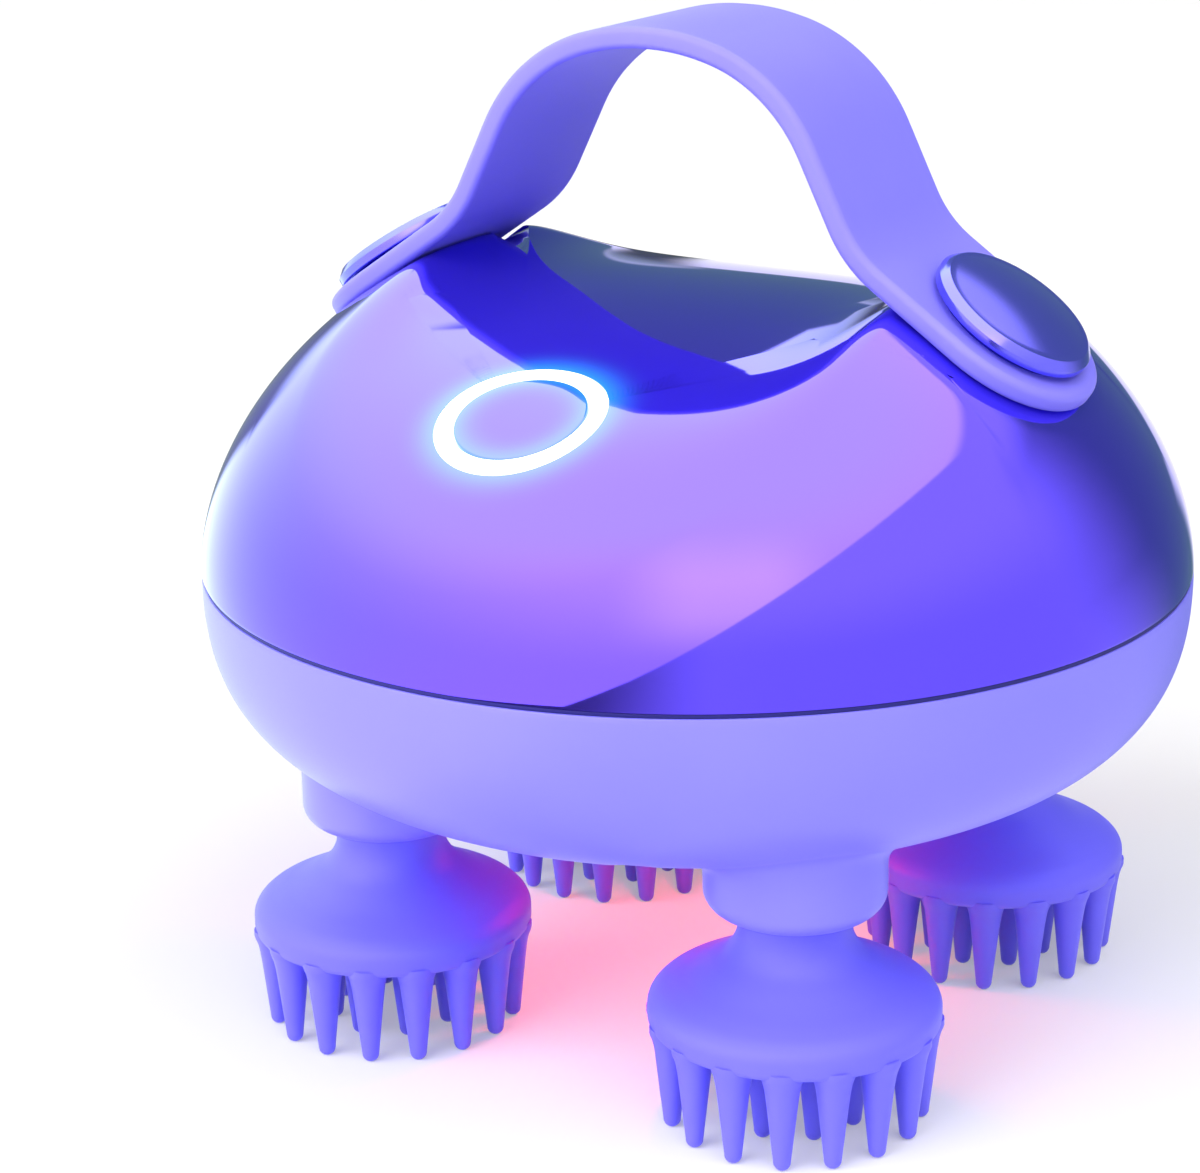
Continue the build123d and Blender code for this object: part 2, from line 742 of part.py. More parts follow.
with BuildPart() as strap_screws:
    for side in sides.values():
        with BuildSketch(pad_plane(side).offset(-wall - cap_screw_head_height)):
            Circle(cap_screw_head_radius)
        extrude(amount=cap_screw_head_height)
        with BuildSketch(pad_plane(side).offset(-wall)):
            Circle(cap_screw_radius)
        extrude(amount=wall + cap_seat + cap_screw_depth)
strap_screws.part.label = "strap_screws"
export_step(strap_screws.part, "parts/strap_screws.step")

# ================================================================ power button
with BuildPart() as light_ring:
    with BuildSketch(button_plane.offset(-ring_seat_depth)):
        Circle(ring_radius)
        Circle(button_radius + button_clearance, mode=Mode.SUBTRACT)
    extrude(amount=ring_seat_depth + button_proud)
    with BuildSketch(button_plane.offset(-ring_seat_depth)):
        Circle(ring_radius + ring_flange)
        Circle(button_radius + button_clearance, mode=Mode.SUBTRACT)
    extrude(amount=-ring_flange_thickness)
light_ring.part.label = "light_ring"
export_step(light_ring.part, "parts/light_ring.step")

flange_top = -ring_seat_depth - ring_flange_thickness - end_play
with BuildPart() as power_button:
    with BuildSketch(button_plane.offset(button_proud)):
        Circle(button_radius)
    extrude(amount=flange_top - button_proud)
    with BuildSketch(button_plane.offset(flange_top)):
        Circle(button_radius + button_flange)
    extrude(amount=-button_flange_thickness)
    with BuildSketch(button_plane.offset(flange_top - button_flange_thickness)):
        Circle(stem_radius)
    extrude(amount=stem_end - flange_top + button_flange_thickness)
power_button.part.label = "power_button"
export_step(power_button.part, "parts/power_button.step")

spring_height = flange_top - button_flange_thickness + housing_depth
with BuildPart() as button_spring:
    with BuildLine():
        Helix(
            pitch=(spring_height - 2 * spring_wire) / spring_turns,
            height=spring_height - 2 * spring_wire,
            radius=spring_radius,
        )
    with BuildSketch(Plane(origin=(spring_radius, 0, 0), z_dir=(0, 1, 0))):
        Circle(spring_wire)
    sweep()
spring_place = button_plane.offset(spring_wire - housing_depth).location
with BuildPart() as placed_spring:
    with Locations(spring_place):
        add(button_spring.part)
placed_spring.part.label = "button_spring"
export_step(placed_spring.part, "parts/button_spring.step")

with BuildPart() as button_board:
    with BuildSketch(button_plane.offset(-housing_depth)):
        Circle(housing_radius)
        with PolarLocations(board_screw_circle, board_screw_count, board_screw_start):
            Circle(small_screw_radius + snug_fit, mode=Mode.SUBTRACT)
    extrude(amount=-board_thickness)
button_board.part.label = "button_board"
export_step(button_board.part, "parts/button_board.step")

with BuildPart() as button_switch:
    with BuildSketch(button_plane.offset(-housing_depth)):
        Rectangle(switch_side, switch_side)
    extrude(amount=switch_height)
    with BuildSketch(button_plane.offset(switch_height - housing_depth)):
        Circle(stem_radius + button_clearance)
    extrude(amount=part_gap - switch_height, mode=Mode.SUBTRACT)
button_switch.part.label = "button_switch"
export_step(button_switch.part, "parts/button_switch.step")

with BuildPart() as ring_leds:
    with BuildSketch(button_plane.offset(-housing_depth)):
        with PolarLocations(ring_radius - led_side / 2, ring_led_count):
            Rectangle(led_side, led_side)
    extrude(amount=led_height)
ring_leds.part.label = "ring_leds"
export_step(ring_leds.part, "parts/ring_leds.step")

# ================================================================ bristle heads
with BuildPart() as bristle:
    with BuildSketch(Plane.XZ):
        with BuildLine():
            Polyline(
                (0, pad_z + bristle_root),
                (bristle_root_radius, pad_z + bristle_root),
                (bristle_root_radius, pad_z),
                (bristle_tip_radius, 0),
                (0, 0),
                close=True,
            )
        make_face()
    revolve()
    tip_edge = bristle.edges().filter_by(GeomType.CIRCLE).sort_by(Axis.Z)[0]
    fillet(tip_edge, bristle_tip_round)

# The silicone head, standing on the middle of the floor: a trumpet-shaped cup over a hard core.
core_disc_z = pad_z + pad_floor
with BuildPart() as head_form:
    with BuildSketch(Plane.XZ):
        with BuildLine():
            Polyline((neck_radius, neck_z), (0, neck_z), (0, pad_z), (rim_radius, pad_z))
            Line((rim_radius, pad_z), (rim_radius, pad_z + rim_height))
            Spline(
                (rim_radius, pad_z + rim_height),
                (rim_top_radius, pad_z + rim_top_height),
                (waist_radius, pad_z + waist_height),
                (neck_radius, neck_z),
                tangents=[(0, 1), (0, 1)],
            )
        make_face()
    revolve()
    with PolarLocations(outer_bristle_circle, outer_bristles):
        add(bristle.part)
    with PolarLocations(inner_bristle_circle, inner_bristles):
        add(bristle.part)
    with BuildSketch(Plane.XY.offset(core_disc_z)):
        Circle(core_disc_radius)
    extrude(amount=core_disc_thickness, mode=Mode.SUBTRACT)
    with BuildSketch(Plane.XY.offset(core_disc_z)):
        Circle(core_hub_radius)
    extrude(amount=neck_z - core_disc_z, mode=Mode.SUBTRACT)

with BuildPart() as core_form:
    with BuildSketch(Plane.XY.offset(core_disc_z)):
        Circle(core_disc_radius)
    extrude(amount=core_disc_thickness)
    with BuildSketch(Plane.XY.offset(core_disc_z)):
        Circle(core_hub_radius)
    extrude(amount=neck_z - core_disc_z)
    with BuildSketch(Plane.XY.offset(neck_z)):
        Circle(shaft_radius + snug_fit)
    extrude(amount=-shaft_in_core, mode=Mode.SUBTRACT)

shaft_top_z = plate_z + plate_thickness - end_play
with BuildPart() as shaft_form:
    with BuildSketch(Plane.XY.offset(neck_z - shaft_in_core)):
        Circle(shaft_radius)
    extrude(amount=shaft_top_z - neck_z + shaft_in_core)

for name, place in heads.items():
    drive, drive_phase = (left_drive, left_phase) if "left" in name else (right_drive, right_phase)
    phase = meshed(drive_phase, drive_teeth, bearing_of(drive, place), output_teeth)

    with BuildPart() as massage_head:
        with Locations(place):
            add(head_form.part)
    massage_head.part.label = f"massage_head_{name}"
    export_step(massage_head.part, f"parts/massage_head_{name}.step")

    with BuildPart() as head_core:
        with Locations(place):
            add(core_form.part)
    head_core.part.label = f"head_core_{name}"
    export_step(head_core.part, f"parts/head_core_{name}.step")

    with BuildPart() as output_shaft:
        with Locations(place):
            add(shaft_form.part)
    output_shaft.part.label = f"output_shaft_{name}"
    export_step(output_shaft.part, f"parts/output_shaft_{name}.step")

    with BuildPart() as output_gear:
        with BuildSketch(Plane(origin=(*place, coarse_z))):
            gear_outline(output_teeth, coarse_module, phase)
        extrude(amount=coarse_face)
        with BuildSketch(Plane(origin=(*place, hub_z))):
            Circle(hub_radius)
        extrude(amount=hub_height)
        with BuildSketch(Plane(origin=(*place, hub_z))):
            Circle(shaft_radius + snug_fit)
        extrude(amount=hub_height + coarse_face, mode=Mode.SUBTRACT)
    output_gear.part.label = f"output_gear_{name}"
    export_step(output_gear.part, f"parts/output_gear_{name}.step")

with BuildPart() as shaft_bushes:
    with BuildSketch(Plane.XY.offset(collar_z + seal_thickness)):
        with Locations(*heads.values()):
            Circle(bush_radius)
    extrude(amount=bush_seat_z - collar_z - seal_thickness)
    with BuildSketch(Plane.XY.offset(bush_seat_z)):
        with Locations(*heads.values()):
            Circle(bush_flange_radius)
    extrude(amount=bush_flange_thickness)
    with BuildSketch(Plane.XY.offset(boss_top_z)):
        with Locations(*heads.values()):
            Circle(shaft_radius + running_fit)
    extrude(amount=collar_z - boss_top_z, mode=Mode.SUBTRACT)
shaft_bushes.part.label = "shaft_bushes"
export_step(shaft_bushes.part, "parts/shaft_bushes.step")

with BuildPart() as shaft_seals:
    with BuildSketch(Plane.XY.offset(collar_z)):
        with Locations(*heads.values()):
            Circle(seal_radius)
            Circle(shaft_radius + running_fit, mode=Mode.SUBTRACT)
    extrude(amount=seal_thickness)
shaft_seals.part.label = "shaft_seals"
export_step(shaft_seals.part, "parts/shaft_seals.step")

# ================================================================ gearbox
drives = {"left": (left_drive, left_phase), "right": (right_drive, right_phase)}
for name, (place, phase) in drives.items():
    with BuildPart() as drive_gear:
        with BuildSketch(Plane(origin=(*place, coarse_z))):
            gear_outline(drive_teeth, coarse_module, phase)
        extrude(amount=coarse_face)
        with BuildSketch(Plane(origin=(*place, hub_z))):
            Circle(hub_radius)
        extrude(amount=hub_height)
        with BuildSketch(Plane(origin=(*place, hub_z))):
            Circle(axle_radius + running_fit)
        extrude(amount=hub_height + coarse_face, mode=Mode.SUBTRACT)
    drive_gear.part.label = f"drive_gear_{name}"
    export_step(drive_gear.part, f"parts/drive_gear_{name}.step")

with BuildPart() as gear_axles:
    with BuildSketch(Plane.XY.offset(boss_top_z - axle_socket)):
        with Locations(left_drive, right_drive):
            Circle(axle_radius)
    extrude(amount=shaft_top_z - boss_top_z + axle_socket)
    with BuildSketch(Plane.XY.offset(plate_z)):
        with Locations(first_stage):
            Circle(first_pin_radius)
    extrude(amount=motor_z - plate_z)
gear_axles.part.label = "gear_axles"
export_step(gear_axles.part, "parts/gear_axles.step")

with BuildPart() as second_stage_pinion:
    with BuildSketch(Plane(origin=(*second_stage, coarse_z))):
        gear_outline(pinion_teeth, coarse_module, second_pinion_phase)
    extrude(amount=coarse_face)
    with BuildSketch(Plane(origin=(*second_stage, boss_top_z - axle_socket + end_play))):
        Circle(second_shaft_radius)
    extrude(amount=motor_z - end_play - boss_top_z + axle_socket - end_play)
second_stage_pinion.part.label = "second_stage_pinion"
export_step(second_stage_pinion.part, "parts/second_stage_pinion.step")

with BuildPart() as second_stage_wheel:
    with BuildSketch(Plane(origin=(*second_stage, second_wheel_z))):
        gear_outline(wheel_teeth, fine_module, second_wheel_phase)
        Circle(second_shaft_radius + snug_fit, mode=Mode.SUBTRACT)
    extrude(amount=fine_face)
second_stage_wheel.part.label = "second_stage_wheel"
export_step(second_stage_wheel.part, "parts/second_stage_wheel.step")

with BuildPart() as first_stage_gear:
    with BuildSketch(Plane(origin=(*first_stage, second_wheel_z))):
        gear_outline(pinion_teeth, fine_module, first_pinion_phase)
    extrude(amount=fine_face)
    with BuildSketch(Plane(origin=(*first_stage, second_wheel_z + fine_face))):
        Circle(fine_pinion_pitch - tooth_dedendum * fine_module)
    extrude(amount=stage_gap)
    with BuildSketch(Plane(origin=(*first_stage, first_wheel_z))):
        gear_outline(wheel_teeth, fine_module, first_wheel_phase)
    extrude(amount=fine_face)
    with BuildSketch(Plane(origin=(*first_stage, second_wheel_z))):
        Circle(first_pin_radius + running_fit)
    extrude(amount=cover_z - second_wheel_z, mode=Mode.SUBTRACT)
first_stage_gear.part.label = "first_stage_gear"
export_step(first_stage_gear.part, "parts/first_stage_gear.step")

with BuildPart() as gear_plate:
    with BuildSketch(Plane.XY.offset(plate_z)):
        RectangleRounded(plate_length, plate_width, plate_corner)
        with Locations(*heads.values()):
            Circle(shaft_radius + running_fit, mode=Mode.SUBTRACT)
        with Locations(left_drive, right_drive):
            Circle(axle_radius + snug_fit, mode=Mode.SUBTRACT)
        with Locations(second_stage):
            Circle(second_shaft_radius + running_fit, mode=Mode.SUBTRACT)
        with Locations(first_stage):
            Circle(first_pin_radius + snug_fit, mode=Mode.SUBTRACT)
        with Locations(*plate_posts, *cover_posts, *holder_screws):
            Circle(small_screw_radius + snug_fit, mode=Mode.SUBTRACT)
    extrude(amount=plate_thickness)
gear_plate.part.label = "gear_plate"
export_step(gear_plate.part, "parts/gear_plate.step")

with BuildPart() as gearbox_cover:
    with BuildSketch(Plane(origin=(*cover_centre, cover_z))):
        RectangleRounded(*cover_size, cover_corner)
    extrude(amount=plate_thickness)
    with BuildSketch(Plane.XY.offset(holder_z)):
        with Locations(*cover_posts):
            Circle(cover_post_radius)
    extrude(amount=cover_z - holder_z)
    with BuildSketch(Plane.XY.offset(holder_z)):
        with Locations(*cover_posts):
            Circle(small_screw_radius + snug_fit)
        with Locations(second_stage):
            Circle(second_shaft_radius + running_fit)
        with Locations(first_stage):
            Circle(first_pin_radius + snug_fit)
        with Locations(motor):
            Circle(motor_nose_radius + snug_fit)
        with Locations(*motor_screws):
            Circle(small_screw_radius + snug_fit)
    extrude(amount=motor_z - holder_z, mode=Mode.SUBTRACT)
gearbox_cover.part.label = "gearbox_cover"
export_step(gearbox_cover.part, "parts/gearbox_cover.step")


def screws_down(places, seat_z, length):
    """Cheese-head screws with their heads on a level face, pointing down."""
    with BuildSketch(Plane.XY.offset(seat_z)) as head:
        with Locations(*places):
            Circle(small_screw_head_radius)
    extrude(head.sketch, amount=small_screw_head_height)
    with BuildSketch(Plane.XY.offset(seat_z)) as shank:
        with Locations(*places):
            Circle(small_screw_radius)
    extrude(shank.sketch, amount=-length)
    with BuildSketch(Plane.XY.offset(seat_z + small_screw_head_height)) as slot:
        with Locations(*places):
            cross_slot(small_screw_head_radius)
    extrude(slot.sketch, amount=-small_screw_head_height / 2, mode=Mode.SUBTRACT)


with BuildPart() as gearbox_screws:
    screws_down(plate_posts, holder_z, small_screw_length)
    screws_down(cover_posts, motor_z, motor_z - plate_z)
    screws_down(holder_screws, holder_z + holder_wall, holder_wall + plate_thickness)
    # the motor's two screws point up through the cover
    with BuildSketch(Plane.XY.offset(cover_z)):
        with Locations(*motor_screws):
            Circle(small_screw_head_radius)
    extrude(amount=-stage_gap)
    with BuildSketch(Plane.XY.offset(cover_z)):
        with Locations(*motor_screws):
            Circle(small_screw_radius)
    extrude(amount=plate_thickness + motor_can_wall)
gearbox_screws.part.label = "gearbox_screws"
export_step(gearbox_screws.part, "parts/gearbox_screws.step")

# ================================================================ motor
motor_top_z = motor_z + motor_length
with BuildPart() as motor_can:
    with BuildSketch(Plane(origin=(*motor, motor_z))):
        Circle(motor_radius)
    extrude(amount=motor_length)
    with BuildSketch(Plane(origin=(*motor, motor_z + motor_can_wall))):
        Circle(motor_radius - motor_can_wall)
    extrude(amount=motor_length, mode=Mode.SUBTRACT)
    with BuildSketch(Plane(origin=(*motor, motor_z))):
        Circle(motor_nose_radius)
    extrude(amount=-motor_nose_height)
    with BuildSketch(Plane(origin=(*motor, motor_z - motor_nose_height))):
        Circle(motor_shaft_radius + running_fit)
    extrude(amount=motor_nose_height + motor_can_wall, mode=Mode.SUBTRACT)
    with BuildSketch(Plane.XY.offset(motor_z)):
        with Locations(*motor_screws):
            Circle(small_screw_radius + snug_fit)
    extrude(amount=motor_can_wall, mode=Mode.SUBTRACT)
motor_can.part.label = "motor_can"
export_step(motor_can.part, "parts/motor_can.step")

armature_z = motor_z + (motor_length - armature_length - commutator_length) / 2
with BuildPart() as motor_magnets:
    with BuildSketch(Plane(origin=(*motor, armature_z))):
        Circle(motor_radius - motor_can_wall)
        Circle(motor_radius - motor_can_wall - magnet_thickness, mode=Mode.SUBTRACT)
        # the two gaps between the magnets
        Rectangle(
            2 * motor_radius, 2 * motor_radius * cos(radians(magnet_arc / 2)), mode=Mode.SUBTRACT
        )
    extrude(amount=armature_length)
motor_magnets.part.label = "motor_magnets"
export_step(motor_magnets.part, "parts/motor_magnets.step")

with BuildPart() as motor_cap:
    with BuildSketch(Plane(origin=(*motor, motor_top_z))):
        Circle(motor_radius)
    extrude(amount=motor_cap_height)
    with BuildSketch(Plane(origin=(*motor, motor_top_z))):
        Circle(motor_radius - motor_can_wall - snug_fit)
    extrude(amount=-motor_can_wall)
    with BuildSketch(Plane(origin=(*motor, motor_top_z - motor_can_wall))):
        Circle(motor_shaft_radius + running_fit)
    extrude(amount=motor_cap_height, mode=Mode.SUBTRACT)
motor_cap.part.label = "motor_cap"
export_step(motor_cap.part, "parts/motor_cap.step")

terminals = [(motor[0] + side * terminal_spread, motor[1]) for side in sides.values()]
with BuildPart() as motor_terminals:
    with BuildSketch(Plane.XY.offset(motor_top_z + motor_cap_height)):
        with Locations(*terminals):
            Rectangle(terminal_size[0], terminal_size[1])
    extrude(amount=terminal_size[2])
motor_terminals.part.label = "motor_terminals"
export_step(motor_terminals.part, "parts/motor_terminals.step")

with BuildPart() as motor_shaft:
    with BuildSketch(Plane(origin=(*motor, first_wheel_z - end_play))):
        Circle(motor_shaft_radius)
    extrude(amount=motor_top_z + motor_cap_height - 2 * motor_can_wall - first_wheel_z)
motor_shaft.part.label = "motor_shaft"
export_step(motor_shaft.part, "parts/motor_shaft.step")

with BuildPart() as motor_pinion:
    with BuildSketch(Plane(origin=(*motor, first_wheel_z))):
        gear_outline(pinion_teeth, fine_module, motor_pinion_phase)
        Circle(motor_shaft_radius + snug_fit, mode=Mode.SUBTRACT)
    extrude(amount=fine_face)
motor_pinion.part.label = "motor_pinion"
export_step(motor_pinion.part, "parts/motor_pinion.step")

with BuildPart() as armature:
    with BuildSketch(Plane(origin=(*motor, armature_z))):
        Circle(armature_radius)
        with PolarLocations(armature_radius, armature_slots):
            Rectangle(armature_radius, armature_slot_width, mode=Mode.SUBTRACT)
    extrude(amount=armature_length)
    with BuildSketch(Plane(origin=(*motor, armature_z + armature_length))):
        Circle(commutator_radius)
    extrude(amount=commutator_length)
    with BuildSketch(Plane(origin=(*motor, armature_z))):
        Circle(motor_shaft_radius + snug_fit)
    extrude(amount=armature_length + commutator_length, mode=Mode.SUBTRACT)
armature.part.label = "armature"
export_step(armature.part, "parts/armature.step")

# ================================================================ battery and main board
with BuildPart() as battery_cell:
    with BuildSketch(Plane(origin=(-battery_length / 2, battery_y, battery_z), z_dir=(1, 0, 0))):
        Circle(battery_radius)
    extrude(amount=battery_length - battery_button_height)
    with BuildSketch(Plane(origin=(0, battery_y, battery_z), z_dir=(1, 0, 0)).offset(battery_length / 2)):
        Circle(battery_button_radius)
    extrude(amount=-battery_button_height)
battery_cell.part.label = "battery_cell"
export_step(battery_cell.part, "parts/battery_cell.step")

board_feet = [
    (side * (pcb_length / 2 - holder_post_radius), battery_y + end * (pcb_width / 2 - holder_post_radius))
    for side in (-1, 1)
    for end in (-1, 1)
]
with BuildPart() as battery_holder:
    with BuildSketch(Plane(origin=(0, battery_y, holder_z))):
        RectangleRounded(battery_length + 2 * holder_wall + 2 * snug_fit, pcb_width, holder_post_radius)
    extrude(amount=holder_wall)
    with BuildSketch(Plane(origin=(0, battery_y, holder_z))):
        with Locations((-cradle_x, 0), (cradle_x, 0)):
            Rectangle(cradle_length, 2 * battery_radius)
    extrude(amount=holder_wall + cradle_height)
    with BuildSketch(Plane(origin=(0, battery_y, holder_z))):
        with Locations((-end_wall_x, 0), (end_wall_x, 0)):
            Rectangle(holder_wall, 2 * battery_radius)
    extrude(amount=battery_z - holder_z + battery_button_radius)
    with BuildSketch(Plane.XY.offset(holder_z)):
        with Locations(*board_feet):
            Circle(holder_post_radius)
    extrude(amount=pcb_z - holder_z)
    with BuildSketch(Plane.YZ.offset(-battery_length / 2 - snug_fit)):
        with Locations((battery_y, battery_z)):
            Circle(battery_radius + snug_fit)
    extrude(amount=battery_length + 2 * snug_fit, mode=Mode.SUBTRACT)
    with BuildSketch(Plane.XY.offset(holder_z)):
        with Locations(*holder_screws):
            Circle(small_screw_radius + snug_fit)
        with Locations(plate_posts[-1]):
            Circle(small_screw_head_radius + part_gap)
    extrude(amount=holder_wall, mode=Mode.SUBTRACT)
    with BuildSketch(Plane.XY.offset(pcb_z)):
        with Locations(*board_feet):
            Circle(small_screw_radius + snug_fit)
    extrude(amount=-small_screw_length, mode=Mode.SUBTRACT)
battery_holder.part.label = "battery_holder"
export_step(battery_holder.part, "parts/battery_holder.step")

tongue_end = port_y - wall - part_gap
with BuildPart() as main_board:
    with BuildSketch(Plane.XY.offset(pcb_z)):
        with Locations((0, battery_y)):
            Rectangle(pcb_length, pcb_width)
        with Locations((0, battery_y)):
            Rectangle(pcb_tongue_width, tongue_end - battery_y, align=(Align.CENTER, Align.MIN))
        with Locations(*board_feet):
            Circle(small_screw_radius + snug_fit, mode=Mode.SUBTRACT)
    extrude(amount=pcb_thickness)
main_board.part.label = "main_board"
export_step(main_board.part, "parts/main_board.step")

board_top_z = pcb_z + pcb_thickness
with BuildPart() as board_components:
    with BuildSketch(Plane.XY.offset(board_top_z)):
        with Locations((0, battery_y)):
            Rectangle(chip_size[0], chip_size[1])
    extrude(amount=chip_size[2])
    with BuildSketch(Plane.XY.offset(board_top_z)):
        with Locations((-component_spread, battery_y)):
            Rectangle(coil_size[0], coil_size[1])
    extrude(amount=coil_size[2])
    with BuildSketch(Plane.XY.offset(board_top_z)):
        with Locations((component_spread, battery_y - capacitor_pitch), (component_spread, battery_y)):
            Circle(capacitor_radius)
    extrude(amount=capacitor_height)
board_components.part.label = "board_components"
export_step(board_components.part, "parts/board_components.step")

with BuildPart() as board_screws:
    screws_down(board_feet, board_top_z, small_screw_length)
    with BuildSketch(button_plane.offset(-housing_depth - board_thickness)) as heads_below:
        with PolarLocations(board_screw_circle, board_screw_count, board_screw_start):
            Circle(small_screw_head_radius)
    extrude(heads_below.sketch, amount=-small_screw_head_height)
    with BuildSketch(button_plane.offset(-housing_depth - board_thickness)) as shanks:
        with PolarLocations(board_screw_circle, board_screw_count, board_screw_start):
            Circle(small_screw_radius)
    extrude(shanks.sketch, amount=board_screw_length)
board_screws.part.label = "board_screws"
export_step(board_screws.part, "parts/board_screws.step")

# ================================================================ charging port
socket_mouth = port_plane
with BuildPart() as charging_socket:
    with BuildSketch(socket_mouth):
        RectangleRounded(socket_width, socket_height, socket_corner)
    extrude(amount=-socket_length)
    with BuildSketch(socket_mouth):
        RectangleRounded(
            socket_width - 2 * socket_wall, socket_height - 2 * socket_wall, socket_corner - socket_wall
        )
    extrude(amount=socket_wall - socket_length, mode=Mode.SUBTRACT)
    with BuildSketch(socket_mouth.offset(-plug_tongue_length - part_gap)):
        Rectangle(socket_width / 2, socket_height / 4)
    extrude(amount=plug_tongue_length + part_gap + socket_wall - socket_length)
charging_socket.part.label = "charging_socket"
export_step(charging_socket.part, "parts/charging_socket.step")

with BuildPart() as charging_plug:
    with BuildSketch(port_plane):
        RectangleRounded(
            plug_length - 2 * plug_clearance, plug_height - 2 * plug_clearance, plug_corner - plug_clearance
        )
    extrude(amount=body_radius)
    add(dome_form.part, mode=Mode.INTERSECT)
    with BuildSketch(port_plane):
        RectangleRounded(
            socket_width - 2 * socket_wall - 2 * plug_clearance,
            socket_height - 2 * socket_wall - 2 * plug_clearance,
            socket_corner - socket_wall - plug_clearance,
        )
    extrude(amount=-plug_tongue_length)
charging_plug.part.label = "charging_plug"
export_step(charging_plug.part, "parts/charging_plug.step")

# ================================================================ red light
with BuildPart() as red_lens:
    with BuildSketch(Plane.XY.offset(case_bottom_z)):
        Circle(lens_radius)
    extrude(amount=floor_z - case_bottom_z)
    add(bowl_form.part, mode=Mode.INTERSECT)
    with BuildSketch(Plane.XY.offset(floor_z)):
        Circle(lens_radius + lens_flange)
    extrude(amount=lens_flange_thickness)
red_lens.part.label = "red_lens"
export_step(red_lens.part, "parts/red_lens.step")

light_board_z = floor_z + light_board_height
with BuildPart() as light_board:
    with BuildSketch(Plane.XY.offset(light_board_z)):
        Circle(light_board_radius)
    extrude(amount=board_thickness)
light_board.part.label = "light_board"
export_step(light_board.part, "parts/light_board.step")

with BuildPart() as light_leds:
    with BuildSketch(Plane.XY.offset(light_board_z)):
        with PolarLocations(light_led_circle, light_led_count):
            Rectangle(led_side, led_side)
    extrude(amount=-led_height)
light_leds.part.label = "light_leds"
export_step(light_leds.part, "parts/light_leds.step")

# ================================================================ wiring
# Each wire's corners, from its first end to its last.
lead_z = motor_top_z + motor_cap_height + terminal_size[2]
lead_end_y = battery_y - pcb_width / 2 + wire_inset
wire_runs = [
    [
        (*terminal, lead_z),
        (*terminal, lead_z + wire_rise),
        (terminal[0], lead_end_y, lead_z + wire_rise),
        (terminal[0], lead_end_y, board_top_z),
    ]
    for terminal in terminals
]
with BuildPart() as wiring:
    for run in wire_runs:
        with BuildLine() as route:
            FilletPolyline(*run, radius=wire_bend)
        with BuildSketch(Plane(origin=route.line @ 0, z_dir=route.line % 0)) as section:
            Circle(wire_radius)
        sweep(section.sketch, path=route.line)
wiring.part.label = "wiring"
export_step(wiring.part, "parts/wiring.step")
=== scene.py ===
"""The finished look of a palm-held electric scalp massager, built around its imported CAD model.

Lengths in the classes are millimetres, and the meshes are written in metres. +Z is up, the bristle tips
stand on z = 0, -Y is the front with the power button, and the strap runs along X.
"""

import json
import logging
import math
from dataclasses import dataclass, field
from enum import Enum
from typing import Any

import bmesh
import bpy
import numpy as np
from mathutils import Matrix, Vector


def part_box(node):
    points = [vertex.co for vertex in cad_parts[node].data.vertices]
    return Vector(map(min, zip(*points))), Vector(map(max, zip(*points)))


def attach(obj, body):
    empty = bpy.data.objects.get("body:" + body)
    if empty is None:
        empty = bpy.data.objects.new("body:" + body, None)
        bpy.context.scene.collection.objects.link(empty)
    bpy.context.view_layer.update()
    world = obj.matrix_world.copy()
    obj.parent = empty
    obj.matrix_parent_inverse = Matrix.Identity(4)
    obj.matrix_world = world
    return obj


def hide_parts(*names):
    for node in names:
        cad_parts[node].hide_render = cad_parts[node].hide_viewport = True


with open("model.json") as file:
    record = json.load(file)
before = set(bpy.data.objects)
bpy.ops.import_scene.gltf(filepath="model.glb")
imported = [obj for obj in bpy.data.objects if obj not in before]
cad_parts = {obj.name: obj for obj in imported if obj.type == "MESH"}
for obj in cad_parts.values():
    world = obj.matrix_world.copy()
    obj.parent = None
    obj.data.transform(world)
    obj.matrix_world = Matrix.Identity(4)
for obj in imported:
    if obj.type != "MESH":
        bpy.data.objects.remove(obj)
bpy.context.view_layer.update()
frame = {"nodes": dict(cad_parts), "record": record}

log = logging.getLogger("massager")
logging.basicConfig(level=logging.INFO, format="%(name)s: %(message)s")

MM = 0.001
TURN = 2 * np.pi
SHARP_EDGE = 35.0
FINE_ROUGHNESS = 0.6
WHITE = (1.0, 1.0, 1.0, 1.0)
BLACK = (0.0, 0.0, 0.0, 1.0)
Pair = tuple[float, float]
Triple = tuple[float, float, float]
Colour = tuple[float, float, float, float]
Array = np.ndarray
Material = bpy.types.Material
Object = bpy.types.Object


# ---------------------------------------------------------------- colours
def linear(code: str) -> Colour:
    """Turns a colour written as six hexadecimal digits into linear light.

    Args:
        code: the colour, such as "6F68FF".

    Returns:
        Red, green, blue and an alpha of 1.
    """
    parts = [int(code[start:start + 2], 16) / 255 for start in (0, 2, 4)]
    light = [p / 12.92 if p <= 0.04045 else ((p + 0.055) / 1.055) ** 2.4 for p in parts]
    return (*light, 1.0)


